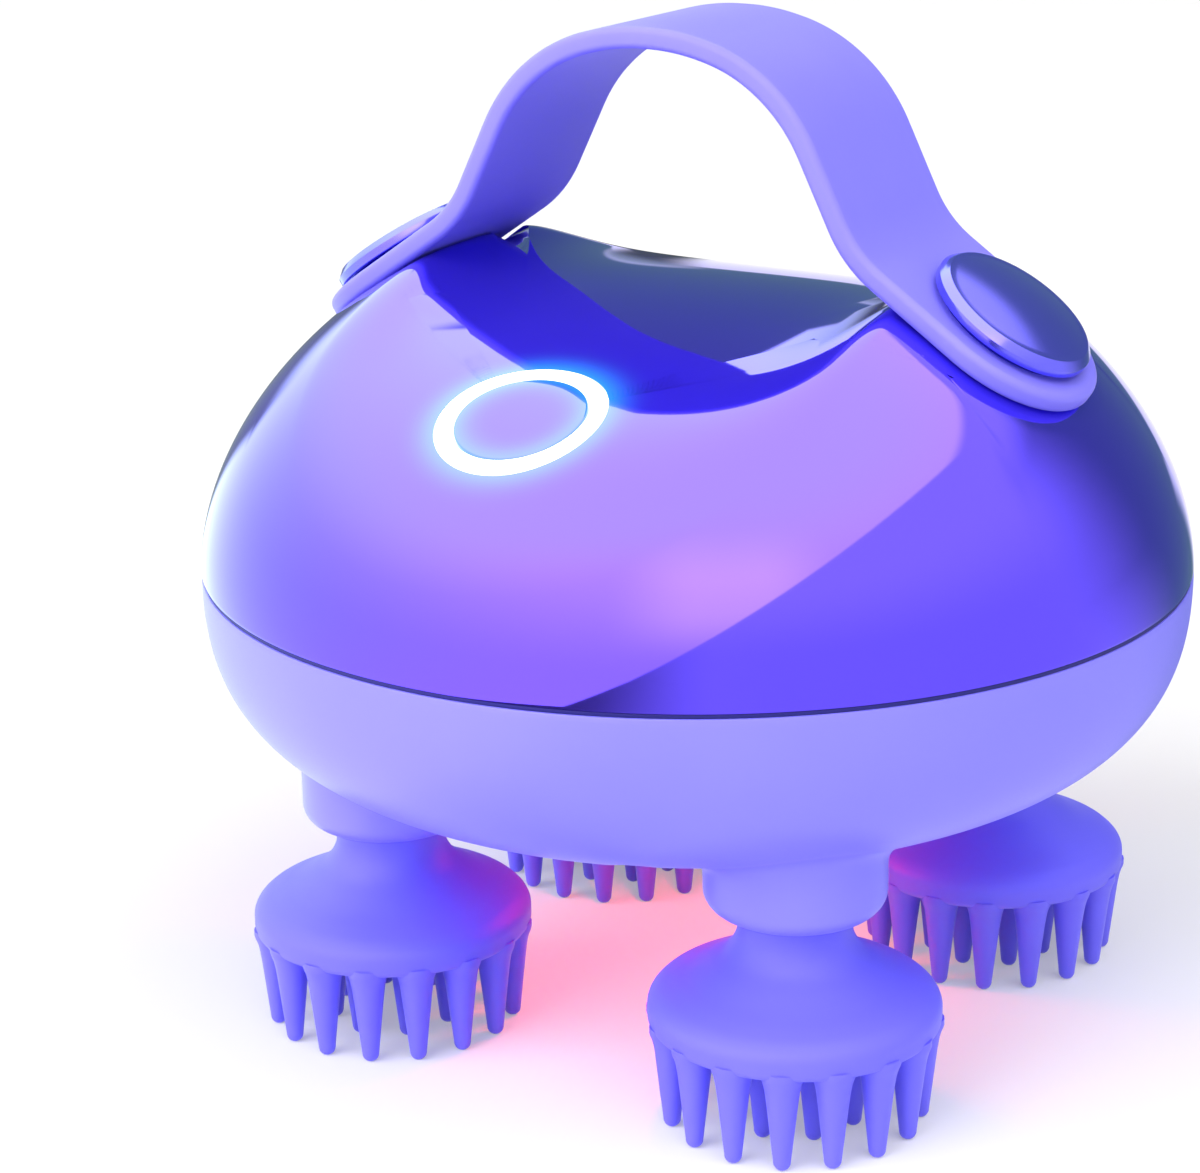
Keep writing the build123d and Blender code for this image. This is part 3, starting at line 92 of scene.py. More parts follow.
# ---------------------------------------------------------------- shader maths
class ShaderMath:
    """A value on its way through a material. Arithmetic on it adds Math nodes."""

    def __init__(self, tree: bpy.types.NodeTree, socket: bpy.types.NodeSocket) -> None:
        """Wraps a socket of a node tree."""
        self.tree = tree
        self.socket = socket

    def math(self, operation: str, *others: "ShaderMath | float") -> "ShaderMath":
        """Adds one Math node.

        Args:
            operation: the node's operation.
            others: what stands in its further inputs.

        Returns:
            The result.
        """
        return math_node(self.tree, operation, self, *others)

    def __add__(self, other: "ShaderMath | float") -> "ShaderMath":
        """The sum."""
        return self.math("ADD", other)

    def __sub__(self, other: "ShaderMath | float") -> "ShaderMath":
        """The difference."""
        return self.math("SUBTRACT", other)

    def __rsub__(self, other: float) -> "ShaderMath":
        """The difference, with the number first."""
        return math_node(self.tree, "SUBTRACT", other, self)

    def __mul__(self, other: "ShaderMath | float") -> "ShaderMath":
        """The product."""
        return self.math("MULTIPLY", other)

    def __truediv__(self, other: "ShaderMath | float") -> "ShaderMath":
        """The quotient."""
        return self.math("DIVIDE", other)

    def __abs__(self) -> "ShaderMath":
        """The size without its sign."""
        return self.math("ABSOLUTE")


def math_node(tree: bpy.types.NodeTree, operation: str, *values: "ShaderMath | float") -> ShaderMath:
    """Adds a Math node to a tree.

    Args:
        tree: the material's node tree.
        operation: the node's operation.
        values: numbers or wrapped sockets for its inputs, in order.

    Returns:
        The node's result.
    """
    node = tree.nodes.new("ShaderNodeMath")
    node.operation = operation
    for socket, value in zip(node.inputs, values):
        feed(tree, socket, value)
    return ShaderMath(tree, node.outputs[0])


def feed(tree: bpy.types.NodeTree, socket: bpy.types.NodeSocket, value: Any) -> None:
    """Links a wrapped socket to an input, or sets the input's own value."""
    if isinstance(value, ShaderMath):
        tree.links.new(value.socket, socket)
    else:
        socket.default_value = value


class NodeTree:
    """A tree of shader nodes and the one way to add a node to it."""

    def __init__(self, tree: bpy.types.NodeTree) -> None:
        """Empties a tree and takes it over."""
        self.tree = tree
        self.tree.nodes.clear()

    def node(
        self, kind: str, settings: dict[str, Any] | None = None, inputs: dict[Any, Any] | None = None,
        result: int | str = 0,
    ) -> ShaderMath:
        """Adds a node.

        Args:
            kind: the node's type after "ShaderNode".
            settings: properties of the node, set before its inputs. A ramp's "stops" are (place, colour).
            inputs: values or wrapped sockets, by the input's name or number.
            result: the output that is wanted.

        Returns:
            The wrapped output.
        """
        node = self.tree.nodes.new("ShaderNode" + kind)
        for name, value in (settings or {}).items():
            if name == "stops":
                ramp = node.color_ramp
                while len(ramp.elements) < len(value):
                    ramp.elements.new(0.5)
                for element, (place, colour) in zip(ramp.elements, value):
                    element.position = place
                    element.color = colour
            else:
                setattr(node, name, value)
        for key, value in (inputs or {}).items():
            feed(self.tree, node.inputs[key], value)
        return ShaderMath(self.tree, node.outputs[result])

    def tint(self, amount: ShaderMath, low: Any, high: Any) -> ShaderMath:
        """Mixes two colours by an amount from 0 to 1."""
        mix = self.tree.nodes.new("ShaderNodeMix")
        mix.data_type = "RGBA"
        for place, value in ((0, amount), (6, low), (7, high)):
            feed(self.tree, mix.inputs[place], value)
        return ShaderMath(self.tree, mix.outputs[2])

    def ease(self, value: ShaderMath, low: Any, high: Any) -> ShaderMath:
        """Goes smoothly from 0 to 1 between two values, or from 1 to 0 where the first is the larger."""
        return self.node("MapRange", {"interpolation_type": "SMOOTHSTEP"},
                         {"Value": value, "From Min": low, "From Max": high})

    def seen(self, *kinds: str) -> ShaderMath:
        """1 for rays of the named kinds, such as "Is Camera Ray", and 0 for others."""
        path = self.tree.nodes.new("ShaderNodeLightPath")
        total = ShaderMath(self.tree, path.outputs[kinds[0]])
        for kind in kinds[1:]:
            total = total.math("MAXIMUM", ShaderMath(self.tree, path.outputs[kind]))
        return total

    def mirror(self) -> ShaderMath:
        """1 for rays that only gloss has sent on, and 0 once a matt surface has scattered them."""
        depth = self.node("LightPath", result="Diffuse Depth")
        return self.seen("Is Glossy Ray") * depth.math("LESS_THAN", 0.5)


class Shader(NodeTree):
    """A material being made, with its Principled shader."""

    def __init__(self, name: str) -> None:
        """Starts a material with a Principled shader."""
        self.material = bpy.data.materials.new(name)
        self.material.use_nodes = True
        super().__init__(self.material.node_tree)
        self.output = self.tree.nodes.new("ShaderNodeOutputMaterial")
        self.principled = self.tree.nodes.new("ShaderNodeBsdfPrincipled")
        self.tree.links.new(self.principled.outputs[0], self.output.inputs["Surface"])

    def surface(self, **inputs: Any) -> None:
        """Sets inputs of the Principled shader, with an underscore for each blank in a name."""
        for name, value in inputs.items():
            feed(self.tree, self.principled.inputs[name.replace("_", " ")], value)

    def place(self) -> ShaderMath:
        """The point's own place on the object, in metres."""
        return self.node("TexCoord", result="Object")

    def noise(self, scale: float, detail: float = 2.0, rough: float = 0.5) -> ShaderMath:
        """Soft noise fixed to the object.

        Args:
            scale: how many features there are in a metre.
            detail: how many finer layers are added.
            rough: how strong each finer layer is.

        Returns:
            A value around 0.5.
        """
        return self.node(
            "TexNoise", inputs={"Vector": self.place(), "Scale": scale, "Detail": detail, "Roughness": rough}
        )

    def bump(self, height: ShaderMath, depth: float, strength: float = 1.0) -> ShaderMath:
        """A normal tilted by a height, with its depth in metres."""
        return self.node(
            "Bump", inputs={"Height": height, "Distance": depth, "Strength": strength}, result="Normal"
        )

    def spread(self, value: ShaderMath, low: float, high: float) -> ShaderMath:
        """Carries a value from 0..1 to low..high."""
        return value * (high - low) + low


# ---------------------------------------------------------------- finishes
@dataclass(frozen=True)
class Moulded:
    """Satin or matte moulding: an even colour that drifts a little, over a fine grain."""

    name: str
    colour: str
    shade: str
    roughness: float
    roughness_drift: float = 0.06
    grain: float = 3800.0
    grain_depth: float = 0.00002
    grain_strength: float = 0.5
    drift_scale: float = 55.0
    sheen: float = 0.0
    sheen_roughness: float = 0.4
    sheen_colour: str = "B8B4FF"
    soft: float = 0.0
    soft_depth: float = 0.003
    coat: float = 0.0
    coat_roughness: float = 0.12
    metallic: float = 0.0

    def build(self) -> Material:
        """Makes the material: colour from broad noise, roughness and bump from fine grain."""
        shader = Shader(self.name)
        drift = shader.noise(self.drift_scale, 2.0)
        grain = shader.noise(self.grain, 3.0, FINE_ROUGHNESS)
        shader.surface(
            Base_Color=shader.tint(drift, linear(self.shade), linear(self.colour)),
            Roughness=shader.spread(grain, self.roughness - self.roughness_drift,
                                    self.roughness + self.roughness_drift),
            Normal=shader.bump(grain, self.grain_depth, self.grain_strength),
            Metallic=self.metallic,
            Sheen_Weight=self.sheen,
            Sheen_Roughness=self.sheen_roughness,
            Sheen_Tint=linear(self.sheen_colour),
            Subsurface_Weight=self.soft,
            Subsurface_Radius=(0.5, 0.5, 1.0),
            Subsurface_Scale=self.soft_depth,
            Coat_Weight=self.coat,
            Coat_Roughness=self.coat_roughness,
        )
        return shader.material


@dataclass(frozen=True)
class Lacquer:
    """Mirror-bright coloured shell, with a painted glow of the lit ring round the button: the shell itself
    emits light there.
    """

    name: str
    colour: str
    shade: str
    glow: str
    painted_glow_strength: float
    painted_glow_reach: float
    ring_centre: Triple
    ring_mean: float
    roughness: float = 0.04
    metallic: float = 0.85
    drift_scale: float = 24.0
    ripple_scale: float = 260.0
    ripple_depth: float = 0.0000025
    ripple_strength: float = 0.4
    dust_scale: float = 2600.0
    dust_share: float = 0.4

    def build(self) -> Material:
        """Makes the material: the painted glow falls off with the distance to the ring's circle."""
        shader = Shader(self.name)
        drift = shader.noise(self.drift_scale, 1.0)
        ripple = shader.noise(self.ripple_scale, 1.0)
        dust = shader.noise(self.dust_scale, 3.0, FINE_ROUGHNESS)
        # Painted glow: emission in the shell stands in for the lit ring's light falling on it, strongest at
        # the ring's circle.
        offset = shader.node(
            "VectorMath", {"operation": "SUBTRACT"},
            {0: shader.place(), 1: tuple(c * MM for c in self.ring_centre)},
        )
        reach = shader.node("VectorMath", {"operation": "LENGTH"}, {0: offset}, result="Value")
        away = abs(reach / MM - self.ring_mean) / self.painted_glow_reach
        fade = math_node(shader.tree, "EXPONENT", 0.0 - away * away)
        shader.surface(
            Base_Color=shader.tint(drift, linear(self.shade), linear(self.colour)),
            Roughness=shader.spread(dust, self.roughness * (1 - self.dust_share),
                                    self.roughness * (1 + self.dust_share)),
            Normal=shader.bump(ripple, self.ripple_depth, self.ripple_strength),
            Metallic=self.metallic,
            Emission_Color=shader.tint(fade, BLACK, linear(self.glow)),
            Emission_Strength=self.painted_glow_strength,
        )
        return shader.material


@dataclass(frozen=True)
class Lit:
    """A diffuser or lens lit from behind, its light drifting a little at random."""

    name: str
    colour: str
    light: str
    dim: str
    strength: float
    speck: float = 420.0
    grain: float = 3000.0
    grain_depth: float = 0.000008
    grain_strength: float = 0.3
    roughness: Pair = (0.22, 0.34)

    def build(self) -> Material:
        """Makes the material: emission drifts between two colours over moulded plastic."""
        shader = Shader(self.name)
        drift = shader.noise(self.speck, 1.0)
        grain = shader.noise(self.grain, 2.0)
        shader.surface(
            Base_Color=linear(self.colour),
            Roughness=shader.spread(grain, *self.roughness),
            Emission_Color=shader.tint(drift, linear(self.dim), linear(self.light)),
            Emission_Strength=self.strength,
            Normal=shader.bump(grain, self.grain_depth, self.grain_strength),
        )
        return shader.material


@dataclass(frozen=True)
class Metal:
    """Turned, ground or cast metal with fine streaks or grain."""

    name: str
    colour: str
    shade: str
    roughness: float
    streak: Triple = (1.0, 1.0, 8.0)
    scale: float = 1500.0
    spread: Pair = (-0.08, 0.1)
    depth: float = 0.00001
    strength: float = 0.4

    def build(self) -> Material:
        """Makes the material: noise squeezed along one axis gives the tool marks."""
        shader = Shader(self.name)
        stretched = shader.node("Mapping", inputs={"Vector": shader.place(), "Scale": self.streak})
        marks = shader.node(
            "TexNoise",
            inputs={"Vector": stretched, "Scale": self.scale, "Detail": 3.0, "Roughness": FINE_ROUGHNESS},
        )
        shader.surface(
            Base_Color=shader.tint(marks, linear(self.shade), linear(self.colour)),
            Metallic=1.0,
            Roughness=shader.spread(marks, *(self.roughness + change for change in self.spread)),
            Normal=shader.bump(marks, self.depth, self.strength),
        )
        return shader.material


@dataclass(frozen=True)
class Laminate:
    """Green circuit board with copper tracks under its mask."""

    name: str
    mask: str
    track: str
    cell_scale: float = 420.0
    cell_randomness: float = 0.6
    track_from: float = 0.42
    track_height: float = 0.00003
    track_strength: float = 0.5
    grain: float = 2600.0
    roughness: Pair = (0.28, 0.4)

    def build(self) -> Material:
        """Makes the material: stepped noise draws blocky tracks a little lighter than the mask."""
        shader = Shader(self.name)
        cells = shader.node(
            "TexVoronoi", {"distance": "CHEBYCHEV", "feature": "F1"},
            {"Vector": shader.place(), "Scale": self.cell_scale, "Randomness": self.cell_randomness},
            result="Distance",
        )
        track = math_node(shader.tree, "GREATER_THAN", cells, self.track_from)
        grain = shader.noise(self.grain)
        shader.surface(
            Base_Color=shader.tint(track, linear(self.mask), linear(self.track)),
            Roughness=shader.spread(grain, *self.roughness),
            Normal=shader.bump(track, self.track_height, self.track_strength),
        )
        return shader.material


# ---------------------------------------------------------------- meshes
@dataclass
class Grid:
    """A surface on a grid of points in millimetres, closed in the ways that are named."""

    points: Array
    closed_rows: bool = False
    closed_columns: bool = True

    def quads(self) -> Array:
        """The four corners of each cell: a point, its neighbour in the row, and the two of the next."""
        rows, columns = self.points.shape[:2]
        row = np.arange(rows if self.closed_rows else rows - 1)[:, None]
        column = np.arange(columns if self.closed_columns else columns - 1)[None, :]
        next_row = (row + 1) % rows
        next_column = (column + 1) % columns
        corners = [row * columns + column, row * columns + next_column,
                   next_row * columns + next_column, next_row * columns + column]
        quads = np.stack(np.broadcast_arrays(*corners), axis=-1).reshape(-1, 4)
        return quads[:, ::-1] if self.volume(quads) < 0 else quads

    def volume(self, quads: Array) -> float:
        """Signed volume: the sum over the cells' two triangles of a corner's triple product, over six."""
        a, b, c, d = (self.points.reshape(-1, 3)[quads[:, corner]] for corner in range(4))
        return float((np.cross(a, b) * c).sum() + (np.cross(a, c) * d).sum()) / 6


def make_piece(name: str, grids: list[Grid], sharp: float = SHARP_EDGE) -> Object:
    """Puts closed grids into one mesh, with its poles merged and its edges sharp past an angle.

    Args:
        name: the piece's name.
        grids: the surfaces, in millimetres.
        sharp: degrees between faces past which an edge shows sharp.

    Returns:
        The object, at the origin, in metres.
    """
    points = np.concatenate([grid.points.reshape(-1, 3) for grid in grids])
    starts = np.cumsum([0] + [grid.points.shape[0] * grid.points.shape[1] for grid in grids[:-1]])
    quads = np.concatenate([grid.quads() + start for grid, start in zip(grids, starts)])
    mesh = bpy.data.meshes.new(name)
    mesh.vertices.add(len(points))
    mesh.vertices.foreach_set("co", (points * MM).astype(np.float32).ravel())
    mesh.loops.add(quads.size)
    mesh.loops.foreach_set("vertex_index", quads.astype(np.int32).ravel())
    mesh.polygons.add(len(quads))
    mesh.polygons.foreach_set("loop_start", np.arange(0, quads.size, 4, dtype=np.int32))
    mesh.update(calc_edges=True)
    weld(mesh)
    finish_mesh(mesh, sharp)
    return new_object(name, mesh)


def new_object(name: str, data: bpy.types.ID) -> Object:
    """Puts a mesh, a lamp or a camera into the scene as an object."""
    made = bpy.data.objects.new(name, data)
    bpy.context.scene.collection.objects.link(made)
    return made


def weld(mesh: bpy.types.Mesh) -> None:
    """Merges points that fall together, as at a pole."""
    work = bmesh.new()
    work.from_mesh(mesh)
    bmesh.ops.remove_doubles(work, verts=work.verts, dist=1e-7)
    bmesh.ops.dissolve_degenerate(work, edges=work.edges, dist=1e-8)
    work.to_mesh(mesh)
    work.free()


def finish_mesh(mesh: bpy.types.Mesh, sharp: float) -> None:
    """Shades a mesh smooth, with its edges sharp past an angle in degrees."""
    mesh.polygons.foreach_set("use_smooth", np.ones(len(mesh.polygons), dtype=bool))
    mesh.set_sharp_from_angle(angle=math.radians(sharp))
    mesh.update()


def cut_away(piece: Object, cutters: list[Object]) -> None:
    """Cuts other solids out of a piece and deletes them."""
    for cutter in cutters:
        modifier = piece.modifiers.new("cut", "BOOLEAN")
        modifier.operation = "DIFFERENCE"
        modifier.solver = "EXACT"
        modifier.object = cutter
    bpy.context.view_layer.update()
    solid = piece.evaluated_get(bpy.context.evaluated_depsgraph_get())
    mesh = bpy.data.meshes.new_from_object(solid)
    piece.modifiers.clear()
    old = piece.data
    piece.data = mesh
    mesh.name = old.name
    bpy.data.meshes.remove(old)
    for cutter in cutters:
        bpy.data.objects.remove(cutter)
    finish_mesh(mesh, SHARP_EDGE)


def merge_pieces(piece: Object, others: list[Object]) -> None:
    """Adds the meshes of other pieces to a piece and deletes the others."""
    work = bmesh.new()
    work.from_mesh(piece.data)
    for other in others:
        work.from_mesh(other.data)
        bpy.data.objects.remove(other)
    work.to_mesh(piece.data)
    work.free()
    finish_mesh(piece.data, SHARP_EDGE)


def even_stations(profile: Array, count: int) -> Array:
    """Resamples a polyline at even distances along it.

    Args:
        profile: its points, one a row.
        count: how many points are wanted.

    Returns:
        The new points, the two ends among them.
    """
    steps = np.linalg.norm(np.diff(profile, axis=0), axis=1)
    along = np.concatenate([[0.0], np.cumsum(steps)])
    wanted = np.linspace(0.0, along[-1], count)
    return np.stack([np.interp(wanted, along, profile[:, axis]) for axis in range(profile.shape[1])], axis=1)


def rounded(corners: list[Pair], radii: list[float], steps: int = 6) -> Array:
    """A polyline with each inner corner rounded by an arc.

    Args:
        corners: the corners, in order.
        radii: one radius for each corner but the first and the last; 0 keeps it sharp.
        steps: how many cells each arc has.

    Returns:
        The points, one a row.
    """
    points = [np.array(corners[0], float)]
    for before, corner, after, radius in zip(corners, corners[1:], corners[2:], radii):
        corner = np.array(corner, float)
        back = np.array(before) - corner
        ahead = np.array(after) - corner
        back, ahead = back / np.linalg.norm(back), ahead / np.linalg.norm(ahead)
        half = np.arccos(np.clip(back @ ahead, -1, 1)) / 2
        if radius == 0:
            points.append(corner)
            continue
        centre = corner + (back + ahead) / np.linalg.norm(back + ahead) * radius / np.sin(half)
        start = corner + back * radius / np.tan(half) - centre
        finish = corner + ahead * radius / np.tan(half) - centre
        sweep = np.linspace(0, 1, steps + 1)[:, None]
        arc = start * (1 - sweep) + finish * sweep
        arc *= radius / np.linalg.norm(arc, axis=1)[:, None]
        points.extend(centre + arc)
    points.append(np.array(corners[-1], float))
    return np.array(points)


def turned(
    profile: Array, columns: int, frame_at: Matrix | None = None, closed: bool = False
) -> Grid:
    """Turns a profile about an axis: (r cos a, r sin a, z) for each angle a.

    Args:
        profile: rows of (radius, height).
        columns: how many steps there are in a turn.
        frame_at: where the axis stands, in millimetres; upright at the origin if it isn't given.
        closed: whether the profile is a loop.

    Returns:
        The surface.
    """
    angle = np.arange(columns) / columns * TURN
    radius, height = profile[:, 0][:, None], profile[:, 1][:, None]
    points = np.stack([radius * np.cos(angle), radius * np.sin(angle), height + 0 * angle], axis=-1)
    return Grid(placed(points, frame_at), closed_rows=closed)


def placed(points: Array, frame_at: Matrix | None) -> Array:
    """Carries points into a frame: each is turned by its axes and moved to its origin."""
    if frame_at is None:
        return points
    matrix = np.array(frame_at)
    return points @ matrix[:3, :3].T + matrix[:3, 3]


def tilted_frame(origin: Triple, normal: Triple,
                 across: Triple) -> Matrix:
    """A frame with its Z along a normal and its X along a direction across it."""
    z = Vector(normal).normalized()
    x = Vector(across)
    x = (x - z * x.dot(z)).normalized()
    y = z.cross(x)
    return Matrix.Translation(Vector(origin)) @ Matrix((x, y, z)).transposed().to_4x4()


def soft_min(first: Array, second: Array, blend: Array | float) -> Array:
    """The lower of two heights, rounded where they come nearer than the blend: the drop is the
    square of what is left of the blend, over four times the blend."""
    left = np.clip(blend - np.abs(first - second), 0, None)
    return np.minimum(first, second) - left * left / (4 * blend)


def smooth_step(value: Array, low: float, high: float) -> Array:
    """Rises from 0 at low to 1 at high, level at both ends."""
    t = np.clip((value - low) / (high - low), 0, 1)
    return t * t * (3 - 2 * t)


def finish_piece(piece: Object, body: str, slot: str, material: Material,
                 *nodes: str) -> None:
    """Gives a piece its material and its body, and hides the nodes that it stands for."""
    piece.data.materials.clear()
    piece.data.materials.append(material)
    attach(piece, body)
    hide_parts(*nodes)
    log.info("%s rides on %s and has %d faces", piece.name, body, len(piece.data.polygons))


# ---------------------------------------------------------------- where things are
def middle(node: str) -> Triple:
    """The middle of a node's box, in millimetres."""
    low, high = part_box(node)
    return tuple((a + b) / 2 / MM for a, b in zip(low, high))


SEAM_Z = middle("seam_gasket")[2]


@dataclass
class CaseForm:
    """The two halves' outside: a dome over the seam and a bowl under it, both superellipses turned
    about Z, with a saddle and two flats taken off the dome."""

    radius: float = 58.0
    dome_height: float = 42.2
    dome_side_power: float = 1.95
    dome_top_power: float = 1.82
    bowl_depth: float = 25.9
    bowl_side_power: float = 4.0
    bowl_floor_power: float = 2.65
    wall: float = 2.3
    seam_gap: float = 0.5
    saddle_floor: float = 32.0
    saddle_bend: float = 103.0
    shoulder_x: float = 29.6
    shoulder_height: float = 35.0
    saddle_power: float = 6.0
    pad_slope: float = 34.5
    flat_blend: float = 0.8
    side_blend: float = 1.4
    front_blend: float = 5.5
    rear_blend: float = 12.0
    blend_span: Pair = (8.0, 34.0)

    def dome(self, turn: Array, inset: float = 0.0) -> tuple[Array, Array]:
        """Radius and height on the dome: radius times cos^(2/side power), height times sin^(2/top power)."""
        radius = (self.radius - inset) * np.cos(turn) ** (2 / self.dome_side_power)
        height = (self.dome_height - inset) * np.sin(turn) ** (2 / self.dome_top_power)
        return radius, height

    def dome_over(self, reach: Array, inset: float = 0.0) -> Array:
        """Height of the dome at a distance from its axis."""
        share = np.clip(reach / (self.radius - inset), 0, 1) ** self.dome_side_power
        return (self.dome_height - inset) * (1 - share) ** (1 / self.dome_top_power)

    def bowl_under(self, reach: Array, inset: float = 0.0) -> Array:
        """Height of the bowl, below zero, at a distance from its axis."""
        share = np.clip(reach / (self.radius - inset), 0, 1) ** self.bowl_side_power
        return -(self.bowl_depth - inset) * (1 - share) ** (1 / self.bowl_floor_power)

    def saddle(self, x: Array, y: Array) -> Array:
        """Height of the saddle: its section across, turned about an axis along X under it."""
        rise = self.shoulder_height - self.saddle_floor
        reach = self.saddle_bend + rise * np.abs(x / self.shoulder_x) ** self.saddle_power
        return self.saddle_floor - self.saddle_bend + np.sqrt(reach * reach - y * y)

    def flats(self, x: Array) -> Array:
        """Height of the flats under the strap's ends."""
        return self.shoulder_height - (np.abs(x) - self.shoulder_x) * math.tan(math.radians(self.pad_slope))

    def top(self, x: Array, y: Array, dome: Array, inset: float = 0.0) -> Array:
        """Height of the finished top: the lowest of dome, flats and saddle, each edge rounded, the more
        so the further it is from the strap, and most at the rear."""
        widest = np.where(y > 0, self.rear_blend, self.front_blend)
        blend = self.side_blend + (widest - self.side_blend) * smooth_step(np.abs(y), *self.blend_span)
        crown = soft_min(dome, self.flats(x) - inset, self.flat_blend)
        return soft_min(crown, self.saddle(x, y) - inset, blend)


@dataclass
class Button:
    """The power button's place on the saddle, and its sizes."""

    y: float = -38.0
    radius: float = 7.3
    clearance: float = 0.2
    ring_radius: float = 9.5
    proud: float = 0.1
    hole_gap: float = 0.03

    def frame_at(self, form: CaseForm) -> Matrix:
        """The frame on the saddle with its Z outwards."""
        tilt = math.asin(-self.y / form.saddle_bend)
        height = SEAM_Z + form.saddle_floor - form.saddle_bend * (1 - math.cos(tilt))
        return tilted_frame((0, self.y, height), (0, -math.sin(tilt), math.cos(tilt)), (1, 0, 0))


@dataclass
class ChargingPort:
    """The pocket at the back that the silicone plug closes."""

    length: float = 14.2
    height: float = 8.4
    corner: float = 2.5
    bottom_y: float = 47.5
    liner: float = 0.9
    floor: float = 2.3
    window: Triple = (9.6, 3.8, 1.6)
    steps: int = 10

    def centre_z(self) -> float:
        """Height of the port's middle, which is the socket's."""
        return middle("charging_socket")[2]

    def loop(self, length: float, height: float, corner: float) -> Array:
        """A rounded rectangle in (x, z): four quarter circles joined by straight runs."""
        angle = np.linspace(0, np.pi / 2, self.steps)
        quarters = []
        for quarter in range(4):
            sign_x = 1 if quarter in (0, 3) else -1
            sign_z = 1 if quarter in (0, 1) else -1
            swing = angle + quarter * np.pi / 2
            quarters.append(np.stack([
                sign_x * (length / 2 - corner) + corner * np.cos(swing),
                sign_z * (height / 2 - corner) + corner * np.sin(swing),
            ], axis=-1))
        return np.concatenate(quarters)

    def ring(self, loop: Array, y: Array | float) -> Array:
        """One row of points round the port at a depth."""
        return np.stack([loop[:, 0], y + 0 * loop[:, 0], loop[:, 1] + self.centre_z()], axis=-1)

    def cutter(self, form: CaseForm) -> Object:
        """The solid that opens the pocket in the shell."""
        hole = self.loop(self.length, self.height, self.corner)
        rows = [self.ring(hole * 0, self.bottom_y), self.ring(hole, self.bottom_y),
                self.ring(hole, form.radius + 5), self.ring(hole * 0, form.radius + 5)]
        return make_piece("port_cutter", [Grid(np.array(rows))])

    def lining(self, form: CaseForm) -> Object:
        """The pocket's own walls and floor, with the socket's window, ending inside the shell's wall."""
        outside = self.loop(self.length + 2 * self.liner, self.height + 2 * self.liner,
                            self.corner + self.liner)
        inside = self.loop(self.length, self.height, self.corner)
        window = self.loop(*self.window)
        rim = [np.sqrt(self.wall_reach(form, loop) ** 2 - loop[:, 0] ** 2) for loop in (outside, inside)]
        back = self.bottom_y - self.floor
        rows = [self.ring(inside, rim[1]), self.ring(outside, rim[0]), self.ring(outside, back),
                self.ring(window, back), self.ring(window, self.bottom_y),
                self.ring(inside, self.bottom_y)]
        return make_piece("port_lining", [Grid(np.array(rows), closed_rows=True)])

    def wall_reach(self, form: CaseForm, loop: Array) -> Array:
        """Distance of the wall's middle from the case's axis, at each point of a loop."""
        height = loop[:, 1] + self.centre_z() - SEAM_Z
        inset = form.wall / 2
        share = (height / (form.dome_height - inset)) ** form.dome_top_power
        return (form.radius - inset) * (1 - share) ** (1 / form.dome_side_power)


